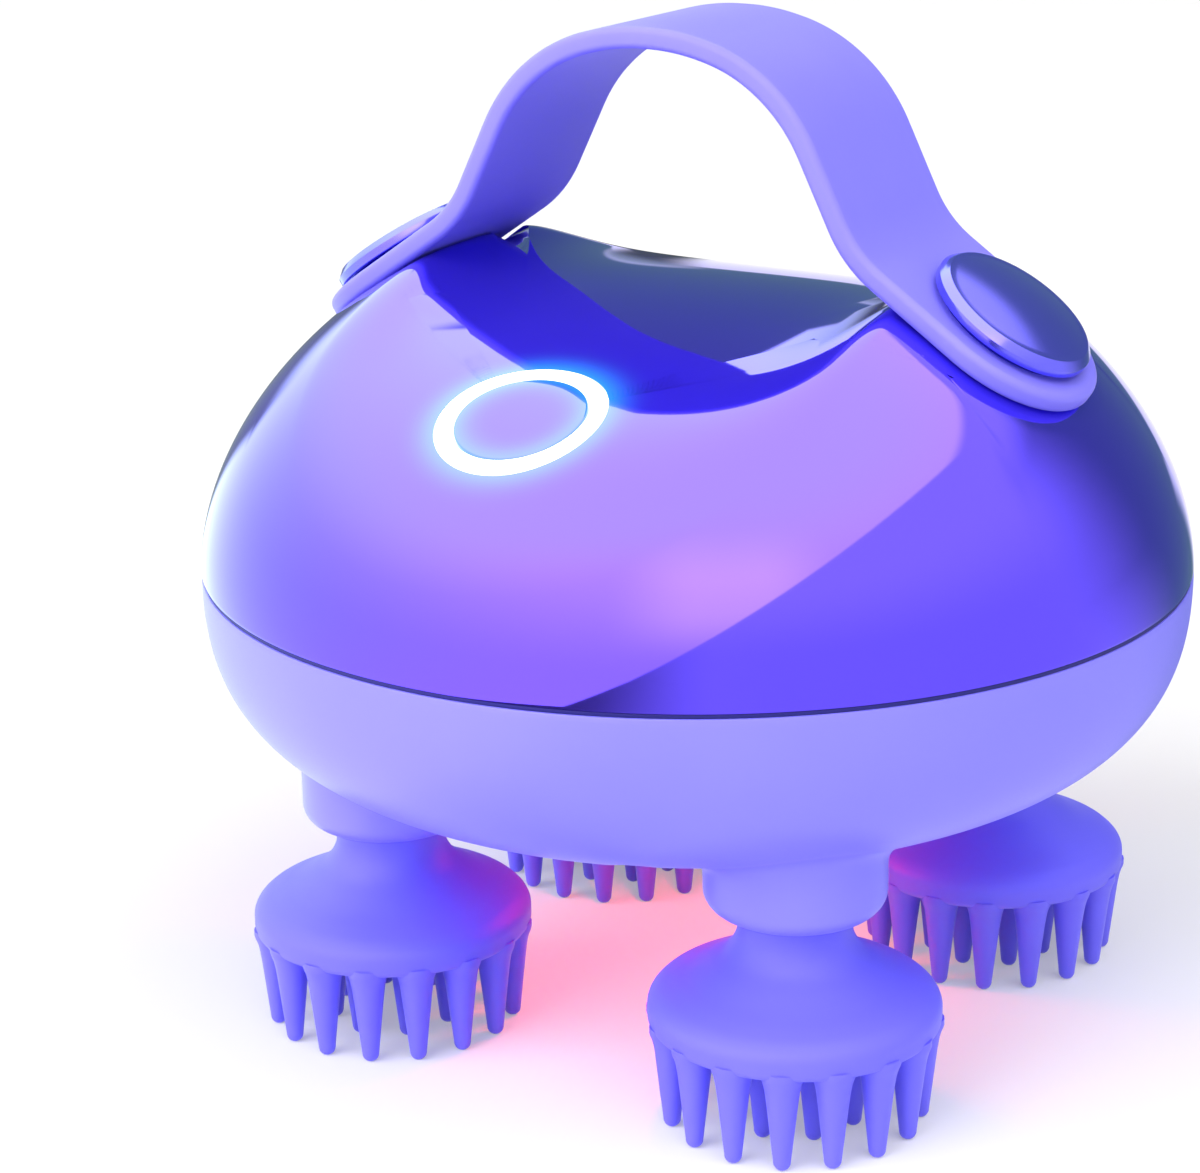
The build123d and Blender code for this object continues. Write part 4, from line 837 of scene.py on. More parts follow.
@dataclass
class UpperShell:
    """The glossy upper shell: one closed sheet from the button's hole out over the saddle, down the dome
    to the seam, and back along the inside."""

    form: CaseForm
    button: Button
    port: ChargingPort
    columns: int = 360
    saddle_rows: int = 96
    dome_rows: int = 96
    inner_saddle_rows: int = 8
    inner_dome_rows: int = 12
    seam_round: float = 0.18
    hole_depth: float = 2.6

    def rim_turn(self, angle: Array, inset: float) -> Array:
        """Where each meridian leaves the dome for the saddle or a flat, as the dome's own angle."""
        turn = np.linspace(0.02, np.pi / 2 - 0.01, 700)[:, None]
        radius, height = self.form.dome(turn, inset)
        x, y = radius * np.cos(angle), radius * np.sin(angle)
        over = height > np.minimum(self.form.saddle(x, y), self.form.flats(x)) - inset
        return turn[np.argmax(over, axis=0), 0]

    def dome_part(
        self, angle: Array, low: float, rim: Array, rows: int, inset: float
    ) -> Array:
        """Rows up the dome from the seam to the rim."""
        share = np.linspace(0, 1, rows)[:, None]
        turn = low + (rim - low) * share
        radius, height = self.form.dome(turn, inset)
        x, y = radius * np.cos(angle), radius * np.sin(angle)
        return np.stack([x, y, SEAM_Z + self.form.top(x, y, height, inset)], axis=-1)

    def saddle_part(self, rim: Array, hole: Array, rows: int, inset: float) -> Array:
        """Rows that run straight, seen from above, from the rim to the button's hole."""
        share = np.linspace(0, 1, rows)[1:, None, None]
        plan = rim[None, :, :2] * (1 - share) + hole[None, :, :2] * share
        x, y = plan[..., 0], plan[..., 1]
        height = self.form.top(x, y, self.form.dome_over(np.hypot(x, y), inset), inset)
        return np.concatenate([plan, (SEAM_Z + height)[..., None]], axis=-1)

    def hole_edge(self, rim: Array) -> Array:
        """The hole's edge on the saddle: a circle across the button's axis, carried along that axis on to
        the surface, with each point facing its own point of the rim."""
        matrix = np.array(self.button.frame_at(self.form))
        swing = np.arctan2(rim[:, 1] - matrix[1, 3], rim[:, 0] - matrix[0, 3])
        radius = self.button.ring_radius + self.button.hole_gap
        local = np.stack([radius * np.cos(swing), radius * np.sin(swing), 0 * swing], axis=-1)
        edge = placed(local, Matrix(matrix))
        normal = matrix[:3, 2]
        for _ in range(3):
            surface = SEAM_Z + self.form.top(edge[:, 0], edge[:, 1], self.form.dome_over(
                np.hypot(edge[:, 0], edge[:, 1])))
            edge = edge + ((surface - edge[:, 2]) * normal[2])[:, None] * normal
        return edge

    def sheet(self) -> Grid:
        """The whole shell as one grid, closed both ways."""
        form = self.form
        angle = np.arange(self.columns) / self.columns * TURN
        step = form.seam_gap / 2
        low = math.asin(((step + self.seam_round) / form.dome_height) ** (form.dome_top_power / 2))
        outer = self.dome_part(angle, low, self.rim_turn(angle, 0.0), self.dome_rows, 0.0)
        edge = self.hole_edge(outer[-1])
        top = self.saddle_part(outer[-1], edge, self.saddle_rows, 0.0)
        top[-1] = edge
        normal = np.array(self.button.frame_at(form))[:3, 2]
        wall = form.wall
        low_inside = math.asin((step / (form.dome_height - wall)) ** (form.dome_top_power / 2))
        inner = self.dome_part(angle, low_inside, self.rim_turn(angle, wall), self.inner_dome_rows, wall)
        inner_top = self.saddle_part(inner[-1], edge - normal * wall, self.inner_saddle_rows, wall)
        inner_top[-1] = edge - normal * self.hole_depth
        seam = np.array([(form.radius - self.seam_round * a, step + self.seam_round * b)
                         for a, b in ((1.0, 0.0), (0.29, 0.29))])
        lip = np.stack([seam[:, :1] * np.cos(angle), seam[:, :1] * np.sin(angle),
                        SEAM_Z + seam[:, 1:] + 0 * angle], axis=-1)
        rows = [lip, outer, top, inner_top[::-1], inner[::-1]]
        return Grid(np.concatenate(rows), closed_rows=True)

    def build(self, material: Material) -> None:
        """Makes the shell, opens the charging port in it and dresses it."""
        shell = make_piece("glossy_upper_shell", [self.sheet()])
        cut_away(shell, [self.port.cutter(self.form)])
        merge_pieces(shell, [self.port.lining(self.form)])
        finish_piece(shell, "housing", "shell_gloss", material, "upper_shell")


@dataclass
class LowerShell:
    """The satin bowl with four collars, the lens's window and the recesses of the case screws."""

    form: CaseForm
    columns: int = 360
    rows: int = 110
    collar_columns: int = 96
    collar_radius: float = 10.2
    collar_drop: float = 30.0
    collar_round: float = 2.4
    flare: float = 1.7
    root_sink: float = 1.2
    bore: float = 5.02
    bore_depth: float = 3.0
    window: float = 7.1
    screw_recess: float = 2.7
    screw_seat: float = 7.0
    screw_hole: float = 1.4
    screw_places: tuple[Pair, ...] = (
        (44.0, 0.0), (-44.0, 0.0), (16.0, 42.0), (-16.0, 42.0), (16.0, -42.0), (-16.0, -42.0)
    )
    liner: float = 0.6
    liner_sink: float = 0.8
    seam_round: float = 0.18

    def bowl(self) -> Grid:
        """The bowl's wall as a closed profile turned about Z."""
        form = self.form
        step = form.seam_gap / 2
        turn = np.linspace(0, 1, 800) ** 1.5
        outside = self.section(turn, 0.0)
        inside = self.section(turn, form.wall)
        outside = outside[outside[:, 1] < -step - self.seam_round]
        inside = inside[inside[:, 1] < -step]
        lip = np.array([(form.radius - form.wall, -step), (form.radius - self.seam_round, -step),
                        (form.radius - 0.29 * self.seam_round, -step - 0.29 * self.seam_round)])
        profile = np.concatenate([lip, even_stations(outside, self.rows), even_stations(inside, 24)[::-1]])
        profile[:, 1] += SEAM_Z
        return turned(profile, self.columns, closed=True)

    def section(self, share: Array, inset: float) -> Array:
        """Half of the bowl's section from the seam to the window's edge."""
        angle = share * np.pi / 2
        form = self.form
        radius = (form.radius - inset) * np.cos(angle) ** (2 / form.bowl_side_power)
        height = -(form.bowl_depth - inset) * np.sin(angle) ** (2 / form.bowl_floor_power)
        kept = radius > self.window
        end = [(self.window, float(form.bowl_under(np.array(self.window), inset)))]
        return np.concatenate([np.stack([radius, height], axis=-1)[kept], np.array(end)])

    def collar(self, place: Pair) -> Grid:
        """A collar: it leaves the bowl in a small flare, drops to a rounded rim and goes up its bore.
        The flare is a quadratic curve from the bowl's surface to the collar's side."""
        angle = np.arange(self.collar_columns) / self.collar_columns * TURN
        over = self.under_bowl(place, self.collar_radius, angle)
        out = self.under_bowl(place, self.collar_radius + self.flare, angle)
        rows = [(self.collar_radius + self.flare + 0 * angle, out + self.root_sink)]
        for t in np.linspace(0, 1, 9):
            keep, bend, drop = (1 - t) ** 2, 2 * t * (1 - t), t * t
            distance = self.collar_radius + keep * self.flare
            rows.append((distance + 0 * angle, keep * out + bend * over + drop * (over - self.flare)))
        end = -self.collar_drop
        top = end + self.collar_round
        last = rows[-1][1]
        rows += [(self.collar_radius + 0 * angle, last * (1 - t) + top * t) for t in np.linspace(0, 1, 6)[1:]]
        for t in np.linspace(0, np.pi / 2, 9)[1:]:
            distance = self.collar_radius - self.collar_round * (1 - math.cos(t))
            rows.append((distance + 0 * angle, top - self.collar_round * math.sin(t) + 0 * angle))
        rows += [(self.bore + 0 * angle, height + 0 * angle) for height in (end, end + self.bore_depth)]
        return self.tube(place, rows, angle)

    def tube(self, place: Pair, rows: list[tuple[Any, Array]], angle: Array) -> Grid:
        """Joins rows of (distance from a place, height over the seam) into a closed tube round it."""
        points = [np.stack([place[0] + distance * np.cos(angle), place[1] + distance * np.sin(angle),
                            SEAM_Z + height], axis=-1) for distance, height in rows]
        return Grid(np.array(points), closed_rows=True)

    def under_bowl(self, place: Pair, distance: float, angle: Array) -> Array:
        """Height of the bowl's outside round a place."""
        x, y = place[0] + distance * np.cos(angle), place[1] + distance * np.sin(angle)
        return self.form.bowl_under(np.hypot(x, y))

    def recess_lining(self, place: Pair) -> Grid:
        """The tube round a screw's head, from inside the bowl's wall up to the seat."""
        angle = np.arange(24) / 24 * TURN
        seat = self.screw_seat - self.form.bowl_depth + 0 * angle
        inner = self.under_bowl(place, self.screw_recess, angle) + self.liner_sink
        outer = self.under_bowl(place, self.screw_recess + self.liner, angle) + self.liner_sink
        rows = [(self.screw_recess, inner), (self.screw_recess + self.liner, outer),
                (self.screw_recess + self.liner, seat + self.liner), (self.screw_hole, seat + self.liner),
                (self.screw_hole, seat), (self.screw_recess, seat)]
        return self.tube(place, rows, angle)

    def recess_cutter(self, place: Pair) -> Object:
        """The solid that opens a screw's recess in the bowl."""
        top = self.screw_seat - self.form.bowl_depth
        profile = np.array([(0, top), (self.screw_recess, top),
                            (self.screw_recess, -self.collar_drop), (0, -self.collar_drop)])
        profile[:, 1] += SEAM_Z
        place_at = Matrix.Translation(Vector((*place, 0)))
        return make_piece("recess_cutter", [turned(profile, 48, place_at)])

    def build(self, material: Material, heads: list[Pair]) -> None:
        """Makes the bowl, cuts the recesses, adds collars and linings and dresses it."""
        shell = make_piece("satin_lower_shell", [self.bowl()])
        cut_away(shell, [self.recess_cutter(place) for place in self.screw_places])
        grids = [self.collar(place) for place in heads]
        grids += [self.recess_lining(place) for place in self.screw_places]
        merge_pieces(shell, [make_piece("collars", grids)])
        finish_piece(shell, "housing", "shell_satin", material, "lower_shell")


@dataclass
class Strap:
    """The silicone hand strap: a flat outline with a rounded edge, bent along its path."""

    form: CaseForm
    width: float = 24.0
    thickness: float = 2.5
    apex: float = 60.2
    crown_turn: float = 14.0
    haunch_turn: float = 49.7
    crown_round: float = 25.13
    haunch_round: float = 18.4
    knee_round: float = 15.5
    run: float = 0.6
    spare_length: float = 60.0
    stations: int = 6000
    opening: float = 14.0
    flat_share: float = 0.92
    pad_radius: float = 12.0
    pad_reach: float = 9.7
    edge_round: float = 0.85
    lift: float = 0.02
    end_columns: int = 60
    side_columns: int = 260

    def centre_line(self) -> tuple[Array, Array, Array, float]:
        """The underside's middle line: its heading turns at a steady rate inside each bend, and its
        points are the running sums of the heading's cosine and sine.

        Returns:
            Distance along the line from its top, heading in radians, points (x, z), and the distance
            of the pad's middle from the top.
        """
        slope = math.radians(self.form.pad_slope)
        turns = [math.radians(self.crown_turn), math.radians(self.haunch_turn)]
        turns.append(slope - sum(turns))
        bends = [self.crown_round, self.haunch_round, self.knee_round]
        crown_end = self.run / 2 + bends[0] * turns[0]
        haunch_end = crown_end + self.run + bends[1] * turns[1]
        fall = self.knee_start(haunch_end, turns)
        knee_end = fall + bends[2] * abs(turns[2])
        line_end = knee_end + self.spare_length
        stations = [0, self.run / 2, crown_end, crown_end + self.run, haunch_end, fall, knee_end, line_end]
        headings = [0, 0, turns[0], turns[0], sum(turns[:2]), sum(turns[:2]), slope, slope]
        along = np.linspace(0, line_end, self.stations)
        heading = np.interp(along, stations, headings)
        step = along[1] - along[0]
        mid = (heading[1:] + heading[:-1]) / 2
        x = np.concatenate([[0], np.cumsum(np.cos(mid)) * step])
        z = self.apex - np.concatenate([[0], np.cumsum(np.sin(mid)) * step])
        pad_x = self.form.shoulder_x + self.pad_reach * math.cos(slope)
        return along, heading, np.stack([x, z], axis=-1), float(np.interp(pad_x, x, along))

    def knee_start(self, haunch_end: float, turns: list[float]) -> float:
        """Distance along the line at which the knee begins, so that it ends on the flat.

        Args:
            haunch_end: where the leg's straight run begins.
            turns: how far crown, haunch and knee turn, in radians.

        Returns:
            The distance.
        """
        first, second, third = turns
        x = self.run / 2 + self.crown_round * math.sin(first)
        z = self.apex - self.crown_round * (1 - math.cos(first))
        x += self.run * math.cos(first)
        z -= self.run * math.sin(first)
        leg = first + second
        x += self.haunch_round * (math.sin(leg) - math.sin(first))
        z -= self.haunch_round * (math.cos(first) - math.cos(leg))
        slope = leg + third
        knee_x = self.knee_round * (math.sin(leg) - math.sin(slope))
        knee_z = self.knee_round * (math.cos(slope) - math.cos(leg))
        fall = math.tan(slope)
        level = z - knee_z - self.form.shoulder_height + (x + knee_x - self.form.shoulder_x) * fall
        return haunch_end + level / (math.sin(leg) - math.cos(leg) * fall)

    def half_width(self, along: Array, pad: float) -> Array:
        """Half the width along the strap: it opens a little towards each round end."""
        opening = smooth_step(np.abs(along), pad - self.opening, pad)
        return self.width / 2 + (self.pad_radius - self.width / 2) * opening

    def surface(self) -> Grid:
        """The outline runs round a stadium. Each of its points is joined straight across to the middle
        line, through the top, the rounded edge and the underside."""
        along, heading, line, pad = self.centre_line()
        swing = np.linspace(-np.pi / 2, np.pi / 2, self.end_columns, endpoint=False)
        side = np.linspace(pad, -pad, self.side_columns, endpoint=False)
        centre = np.concatenate([pad + 0 * swing, side, -pad + 0 * swing, -side])
        out_s = np.concatenate([np.cos(swing), 0 * side, -np.cos(swing), 0 * side])
        out_y = np.concatenate([np.sin(swing), 1 + 0 * side, -np.sin(swing), -1 + 0 * side])
        reach = np.where(np.abs(out_s) > 0, self.pad_radius, self.half_width(centre, pad))
        r = self.edge_round
        corner = np.linspace(0, np.pi / 2, 7)
        section = [(share, None, 0.0) for share in np.linspace(0, self.flat_share, 9)]
        section += [(None, -r + r * math.sin(a), r - r * math.cos(a)) for a in corner]
        section += [(None, -r + r * math.sin(a), self.thickness - r + r * math.cos(a)) for a in corner[::-1]]
        section += [(share, None, self.thickness) for share in np.linspace(self.flat_share, 0, 9)]
        grid = []
        for share, inset, height in section:
            distance = reach * share if share is not None else reach + inset
            s = centre + out_s * distance
            y = out_y * distance
            flat = np.abs(s)
            x = np.interp(flat, along, line[:, 0])
            z = np.interp(flat, along, line[:, 1])
            tilt = np.interp(flat, along, heading)
            lift = height + self.lift
            grid.append(np.stack([np.sign(s) * (x + lift * np.sin(tilt)), y,
                                  SEAM_Z + z + lift * np.cos(tilt)], axis=-1))
        return Grid(np.array(grid))

    def build(self, material: Material) -> None:
        """Makes the strap and dresses it."""
        strap = make_piece("silicone_strap", [self.surface()], 60)
        finish_piece(strap, "housing", "strap_silicone", material, "strap")


@dataclass
class StrapCaps:
    """The two polished round caps and the dark ring under each."""

    form: CaseForm
    radius: float = 9.7
    thickness: float = 2.2
    bevel: float = 0.8
    crown: float = 0.9
    land: float = 0.6
    foot: float = 0.5
    ring_radius: float = 8.6
    ring_thickness: float = 0.7
    strap_thickness: float = 2.5
    pad_reach: float = 9.7
    columns: int = 160

    def frame_at(self, side: int) -> Matrix:
        """The frame on a flat under the middle of a cap."""
        slope = math.radians(self.form.pad_slope)
        origin = (side * (self.form.shoulder_x + self.pad_reach * math.cos(slope)), 0,
                  SEAM_Z + self.form.shoulder_height - self.pad_reach * math.sin(slope))
        return tilted_frame(origin, (side * math.sin(slope), 0, math.cos(slope)), (0, 1, 0))

    def cap(self) -> Array:
        """A cap's profile: a face that is crowned as the square of the distance from its middle, a
        polished bevel and a straight side."""
        seat = self.strap_thickness + self.ring_thickness
        face = seat + self.thickness
        rim = self.radius - self.bevel
        low, high = face - self.crown / 2, face + self.crown / 2
        inner = rim - self.land
        corners = [(self.radius - self.foot, seat), (self.radius, seat), (self.radius, low - self.bevel),
                   (rim, low), (inner, low)]
        edge = rounded(corners, [0.15, 0.08, 0.12], 3)
        reach = np.linspace(inner, 0, 24)
        top = high - self.crown * (reach / inner) ** 2
        return np.concatenate([[(0.0, seat)], edge[:-1], np.stack([reach, top], axis=-1)])

    def ring(self) -> Array:
        """The dark ring's profile."""
        low, high = self.strap_thickness - 0.05, self.strap_thickness + self.ring_thickness
        return rounded([(0, low), (self.ring_radius, low), (self.ring_radius, high), (0, high)],
                       [0.0, 0.15], 3)

    def build(self, cap_material: Material, ring_material: Material) -> None:
        """Makes both caps and the rings, and dresses them."""
        rings = []
        for name, side in {"left": -1, "right": 1}.items():
            at = self.frame_at(side)
            cap = make_piece(f"polished_cap_{name}", [turned(self.cap(), self.columns, at)], 20)
            finish_piece(cap, "housing", "cap_gloss", cap_material, f"strap_cap_{name}")
            rings.append(turned(self.ring(), self.columns, at))
        trim = make_piece("dark_cap_rings", rings, 30)
        finish_piece(trim, "housing", "cap_trim", ring_material, "cap_rings")


@dataclass
class ButtonFace:
    """The lit ring and the button inside it."""

    form: CaseForm
    button: Button
    ring_seat: float = 2.6
    ring_proud: float = 0.12
    ring_flange: float = 1.4
    flange_thickness: float = 0.8
    button_flange: float = 0.9
    button_flange_thickness: float = 0.9
    end_play: float = 0.1
    stem_radius: float = 1.5
    stem_end: float = 6.6
    edge: float = 0.22
    dish: float = 0.02
    dish_margin: float = 1.2
    columns: int = 160

    def ring_profile(self) -> Array:
        """A closed section: a softly crowned face, and the flange that holds the ring in the shell."""
        inner = self.button.radius + self.button.clearance
        outer = self.button.ring_radius
        top = self.button.proud + self.ring_proud
        foot = -self.ring_seat - self.flange_thickness
        return rounded(
            [(inner, foot), (inner, top), (outer, top), (outer, -self.ring_seat),
             (outer + self.ring_flange, -self.ring_seat), (outer + self.ring_flange, foot), (inner, foot)],
            [0.3, 0.5, 0, 0, 0], 5)[:-1]

    def button_profile(self) -> Array:
        """A faintly dished face with a rounded edge, a flange and a stem."""
        radius = self.button.radius
        top = self.button.proud
        under = -self.ring_seat - self.flange_thickness - self.end_play
        dish_radius = radius - self.dish_margin
        reach = np.linspace(0, dish_radius, 12)
        face = np.stack([reach, top - self.dish * (1 - smooth_step(reach, 0, dish_radius))], axis=-1)
        side = rounded(
            [tuple(face[-1]), (radius, top), (radius, under), (radius + self.button_flange, under),
             (radius + self.button_flange, under - self.button_flange_thickness),
             (self.stem_radius, under - self.button_flange_thickness), (self.stem_radius, -self.stem_end),
             (0, -self.stem_end)],
            [self.edge, 0, 0, 0, 0, 0], 5)
        return np.concatenate([face[:-1], side])

    def bent(self, profile: Array, closed: bool = False) -> Grid:
        """Turns a profile, bends its face down with the saddle by half the square of the distance along
        the bend over the bend's radius, and carries it to its place."""
        points = turned(profile, self.columns).points
        share = smooth_step(points[..., 2], -self.ring_seat, -0.5)
        points[..., 2] -= share * points[..., 1] ** 2 / (2 * self.form.saddle_bend)
        return Grid(placed(points, self.button.frame_at(self.form)), closed_rows=closed)

    def build(self, ring_material: Material, face_material: Material) -> None:
        """Makes the ring and the button, and dresses them."""
        ring = make_piece("lit_ring", [self.bent(self.ring_profile(), closed=True)])
        finish_piece(ring, "housing", "ring_light", ring_material, "light_ring")
        face = make_piece("button_disc", [self.bent(self.button_profile())])
        finish_piece(face, "power_button", "shell_gloss", face_material, "power_button")


class HeadPlace(Enum):
    """Which head is meant, by the node and the body it rides on."""

    FRONT_LEFT = "front_left"
    FRONT_RIGHT = "front_right"
    REAR_LEFT = "rear_left"
    REAR_RIGHT = "rear_right"

    @property
    def node(self) -> str:
        """The head's CAD node."""
        return f"massage_head_{self.value}"

    @property
    def centre(self) -> Pair:
        """The head's axis, seen from above."""
        return middle(self.node)[:2]


@dataclass
class MassageHead:
    """A silicone head: a trumpet-shaped cup over its hard core, with tapered bristles."""

    pad_z: float = 11.2
    rim_radius: float = 16.4
    rim_height: float = 2.0
    trumpet: tuple[Pair, ...] = (
        (16.2, 2.8), (15.3, 3.8), (13.7, 4.7), (11.6, 5.7), (9.5, 7.0), (7.6, 8.5), (6.6, 10.2), (6.3, 13.1)
    )
    rim_round: float = 0.9
    core_radius: float = 13.0
    core_floor: float = 1.5
    core_thickness: float = 2.4
    hub_radius: float = 4.8
    outer_bristles: int = 16
    inner_bristles: int = 8
    outer_circle: float = 14.15
    inner_circle: float = 7.4
    root_radius: float = 2.1
    root_flare: float = 0.4
    flare_depth: float = 0.8
    tip_radius: float = 0.88
    tip_power: float = 0.8
    columns: int = 144
    bristle_columns: int = 20

    def cup(self) -> Array:
        """The cup's profile: from the middle of its underside out round the rim, up the trumpet to the
        neck, and down inside to the core's pocket. The trumpet is a cubic from the rim through its points."""
        knots = np.array([(self.rim_radius, self.rim_height), *self.trumpet])
        trumpet = smooth_through(knots, (0.05, 1.0), (-0.05, 1.0), 44)
        under = rounded([(0, 0), (self.rim_radius, 0), (self.rim_radius, self.rim_height)],
                        [self.rim_round], 6)[:-1]
        floor = self.core_floor
        pocket = [(self.hub_radius, self.trumpet[-1][1]), (self.hub_radius, floor + self.core_thickness),
                  (self.core_radius, floor + self.core_thickness), (self.core_radius, floor), (0, floor)]
        profile = np.concatenate([under, trumpet, np.array(pocket)])
        profile[:, 1] += self.pad_z
        return profile

    def bristle(self) -> Array:
        """A bristle's profile: a straight taper that flares into its root and ends in a round tip. The
        flare fades as the exponential of the depth below the pad."""
        height = np.concatenate([np.linspace(0.9, -2.0, 9), np.linspace(-2.9, -self.pad_z + 0.95, 7)])
        depth = np.clip(-height, 0, None)
        taper = self.root_radius + (self.tip_radius - self.root_radius) * depth / self.pad_z
        radius = taper + self.root_flare * np.exp(-depth / self.flare_depth)
        swing = np.linspace(0.12, np.pi / 2, 7)
        end = radius[-1]
        drop = (self.pad_z + height[-1]) * np.sin(swing)
        tip = np.stack([end * np.cos(swing) ** self.tip_power, height[-1] - drop], axis=-1)
        tip[-1, 0] = 0
        profile = np.concatenate([[(0, height[0])], np.stack([radius, height], axis=-1), tip])
        profile[:, 1] += self.pad_z
        return profile

    def build(self, place: HeadPlace, material: Material) -> None:
        """Makes one head and dresses it."""
        x, y = place.centre
        at = Matrix.Translation(Vector((x, y, 0)))
        grids = [turned(self.cup(), self.columns, at)]
        profile = self.bristle()
        rings = ((self.outer_bristles, self.outer_circle), (self.inner_bristles, self.inner_circle))
        for count, circle in rings:
            for step in range(count):
                swing = TURN * step / count
                root = Matrix.Translation(Vector((circle * math.cos(swing), circle * math.sin(swing), 0)))
                grids.append(turned(profile, self.bristle_columns, at @ root))
        head = make_piece(f"silicone_head_{place.value}", grids, 50)
        finish_piece(head, f"{place.value}_head", "head_silicone", material, place.node)


def smooth_through(knots: Array, start: Pair, finish: Pair,
                   count: int) -> Array:
    """A smooth curve through knots: cubic Hermite spans whose slopes are the mean of their neighbours'.

    Args:
        knots: the points that it goes through.
        start: its direction at the first knot.
        finish: its direction at the last knot.
        count: how many points are wanted.

    Returns:
        The points, evenly spaced.
    """
    spans = np.linalg.norm(np.diff(knots, axis=0), axis=1)
    slopes = np.empty_like(knots)
    rates = np.diff(knots, axis=0) / spans[:, None]
    weights = spans[1:, None] / (spans[1:] + spans[:-1])[:, None]
    slopes[1:-1] = rates[:-1] * weights + rates[1:] * (1 - weights)
    slopes[0] = np.array(start) / np.linalg.norm(start)
    slopes[-1] = np.array(finish) / np.linalg.norm(finish)
    t = np.linspace(0, 1, 24)[None, :, None]
    a, b = knots[:-1, None], knots[1:, None]
    m, n = slopes[:-1, None] * spans[:, None, None], slopes[1:, None] * spans[:, None, None]
    points = ((2 * t**3 - 3 * t**2 + 1) * a + (t**3 - 2 * t**2 + t) * m
              + (3 * t**2 - 2 * t**3) * b + (t**3 - t**2) * n)
    return even_stations(points.reshape(-1, knots.shape[1]), count)


@dataclass
class Trim:
    """The seam's gasket and the red lens in the floor."""

    form: CaseForm
    gasket_inset: float = 0.15
    lens_radius: float = 7.0
    lens_flange: float = 1.2
    lens_flange_thickness: float = 1.0
    lens_edge: float = 0.4

    def build(self, gasket_material: Material, lens_material: Material) -> None:
        """Makes both and dresses them."""
        outer = self.form.radius - self.gasket_inset
        inner = self.form.radius - self.form.wall
        half = self.form.seam_gap / 2
        section = rounded([(inner, -half), (outer, -half), (outer, half), (inner, half), (inner, -half)],
                          [0.12, 0.12, 0.0], 3)[:-1]
        section[:, 1] += SEAM_Z
        gasket = make_piece("dark_seam", [turned(section, 240, closed=True)])
        finish_piece(gasket, "housing", "gasket", gasket_material, "seam_gasket")

        low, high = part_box("red_lens")
        bottom, top = low.z / MM, high.z / MM
        flange = top - self.lens_flange_thickness
        radius = self.lens_radius
        rim = radius + self.lens_flange
        corners = [(0, bottom), (radius, bottom), (radius, flange), (rim, flange), (rim, top), (0, top)]
        profile = rounded(corners, [self.lens_edge, 0, 0, 0], 5)
        lens = make_piece("floor_lens", [turned(profile, 96)])
        finish_piece(lens, "housing", "red_light", lens_material, "red_lens")


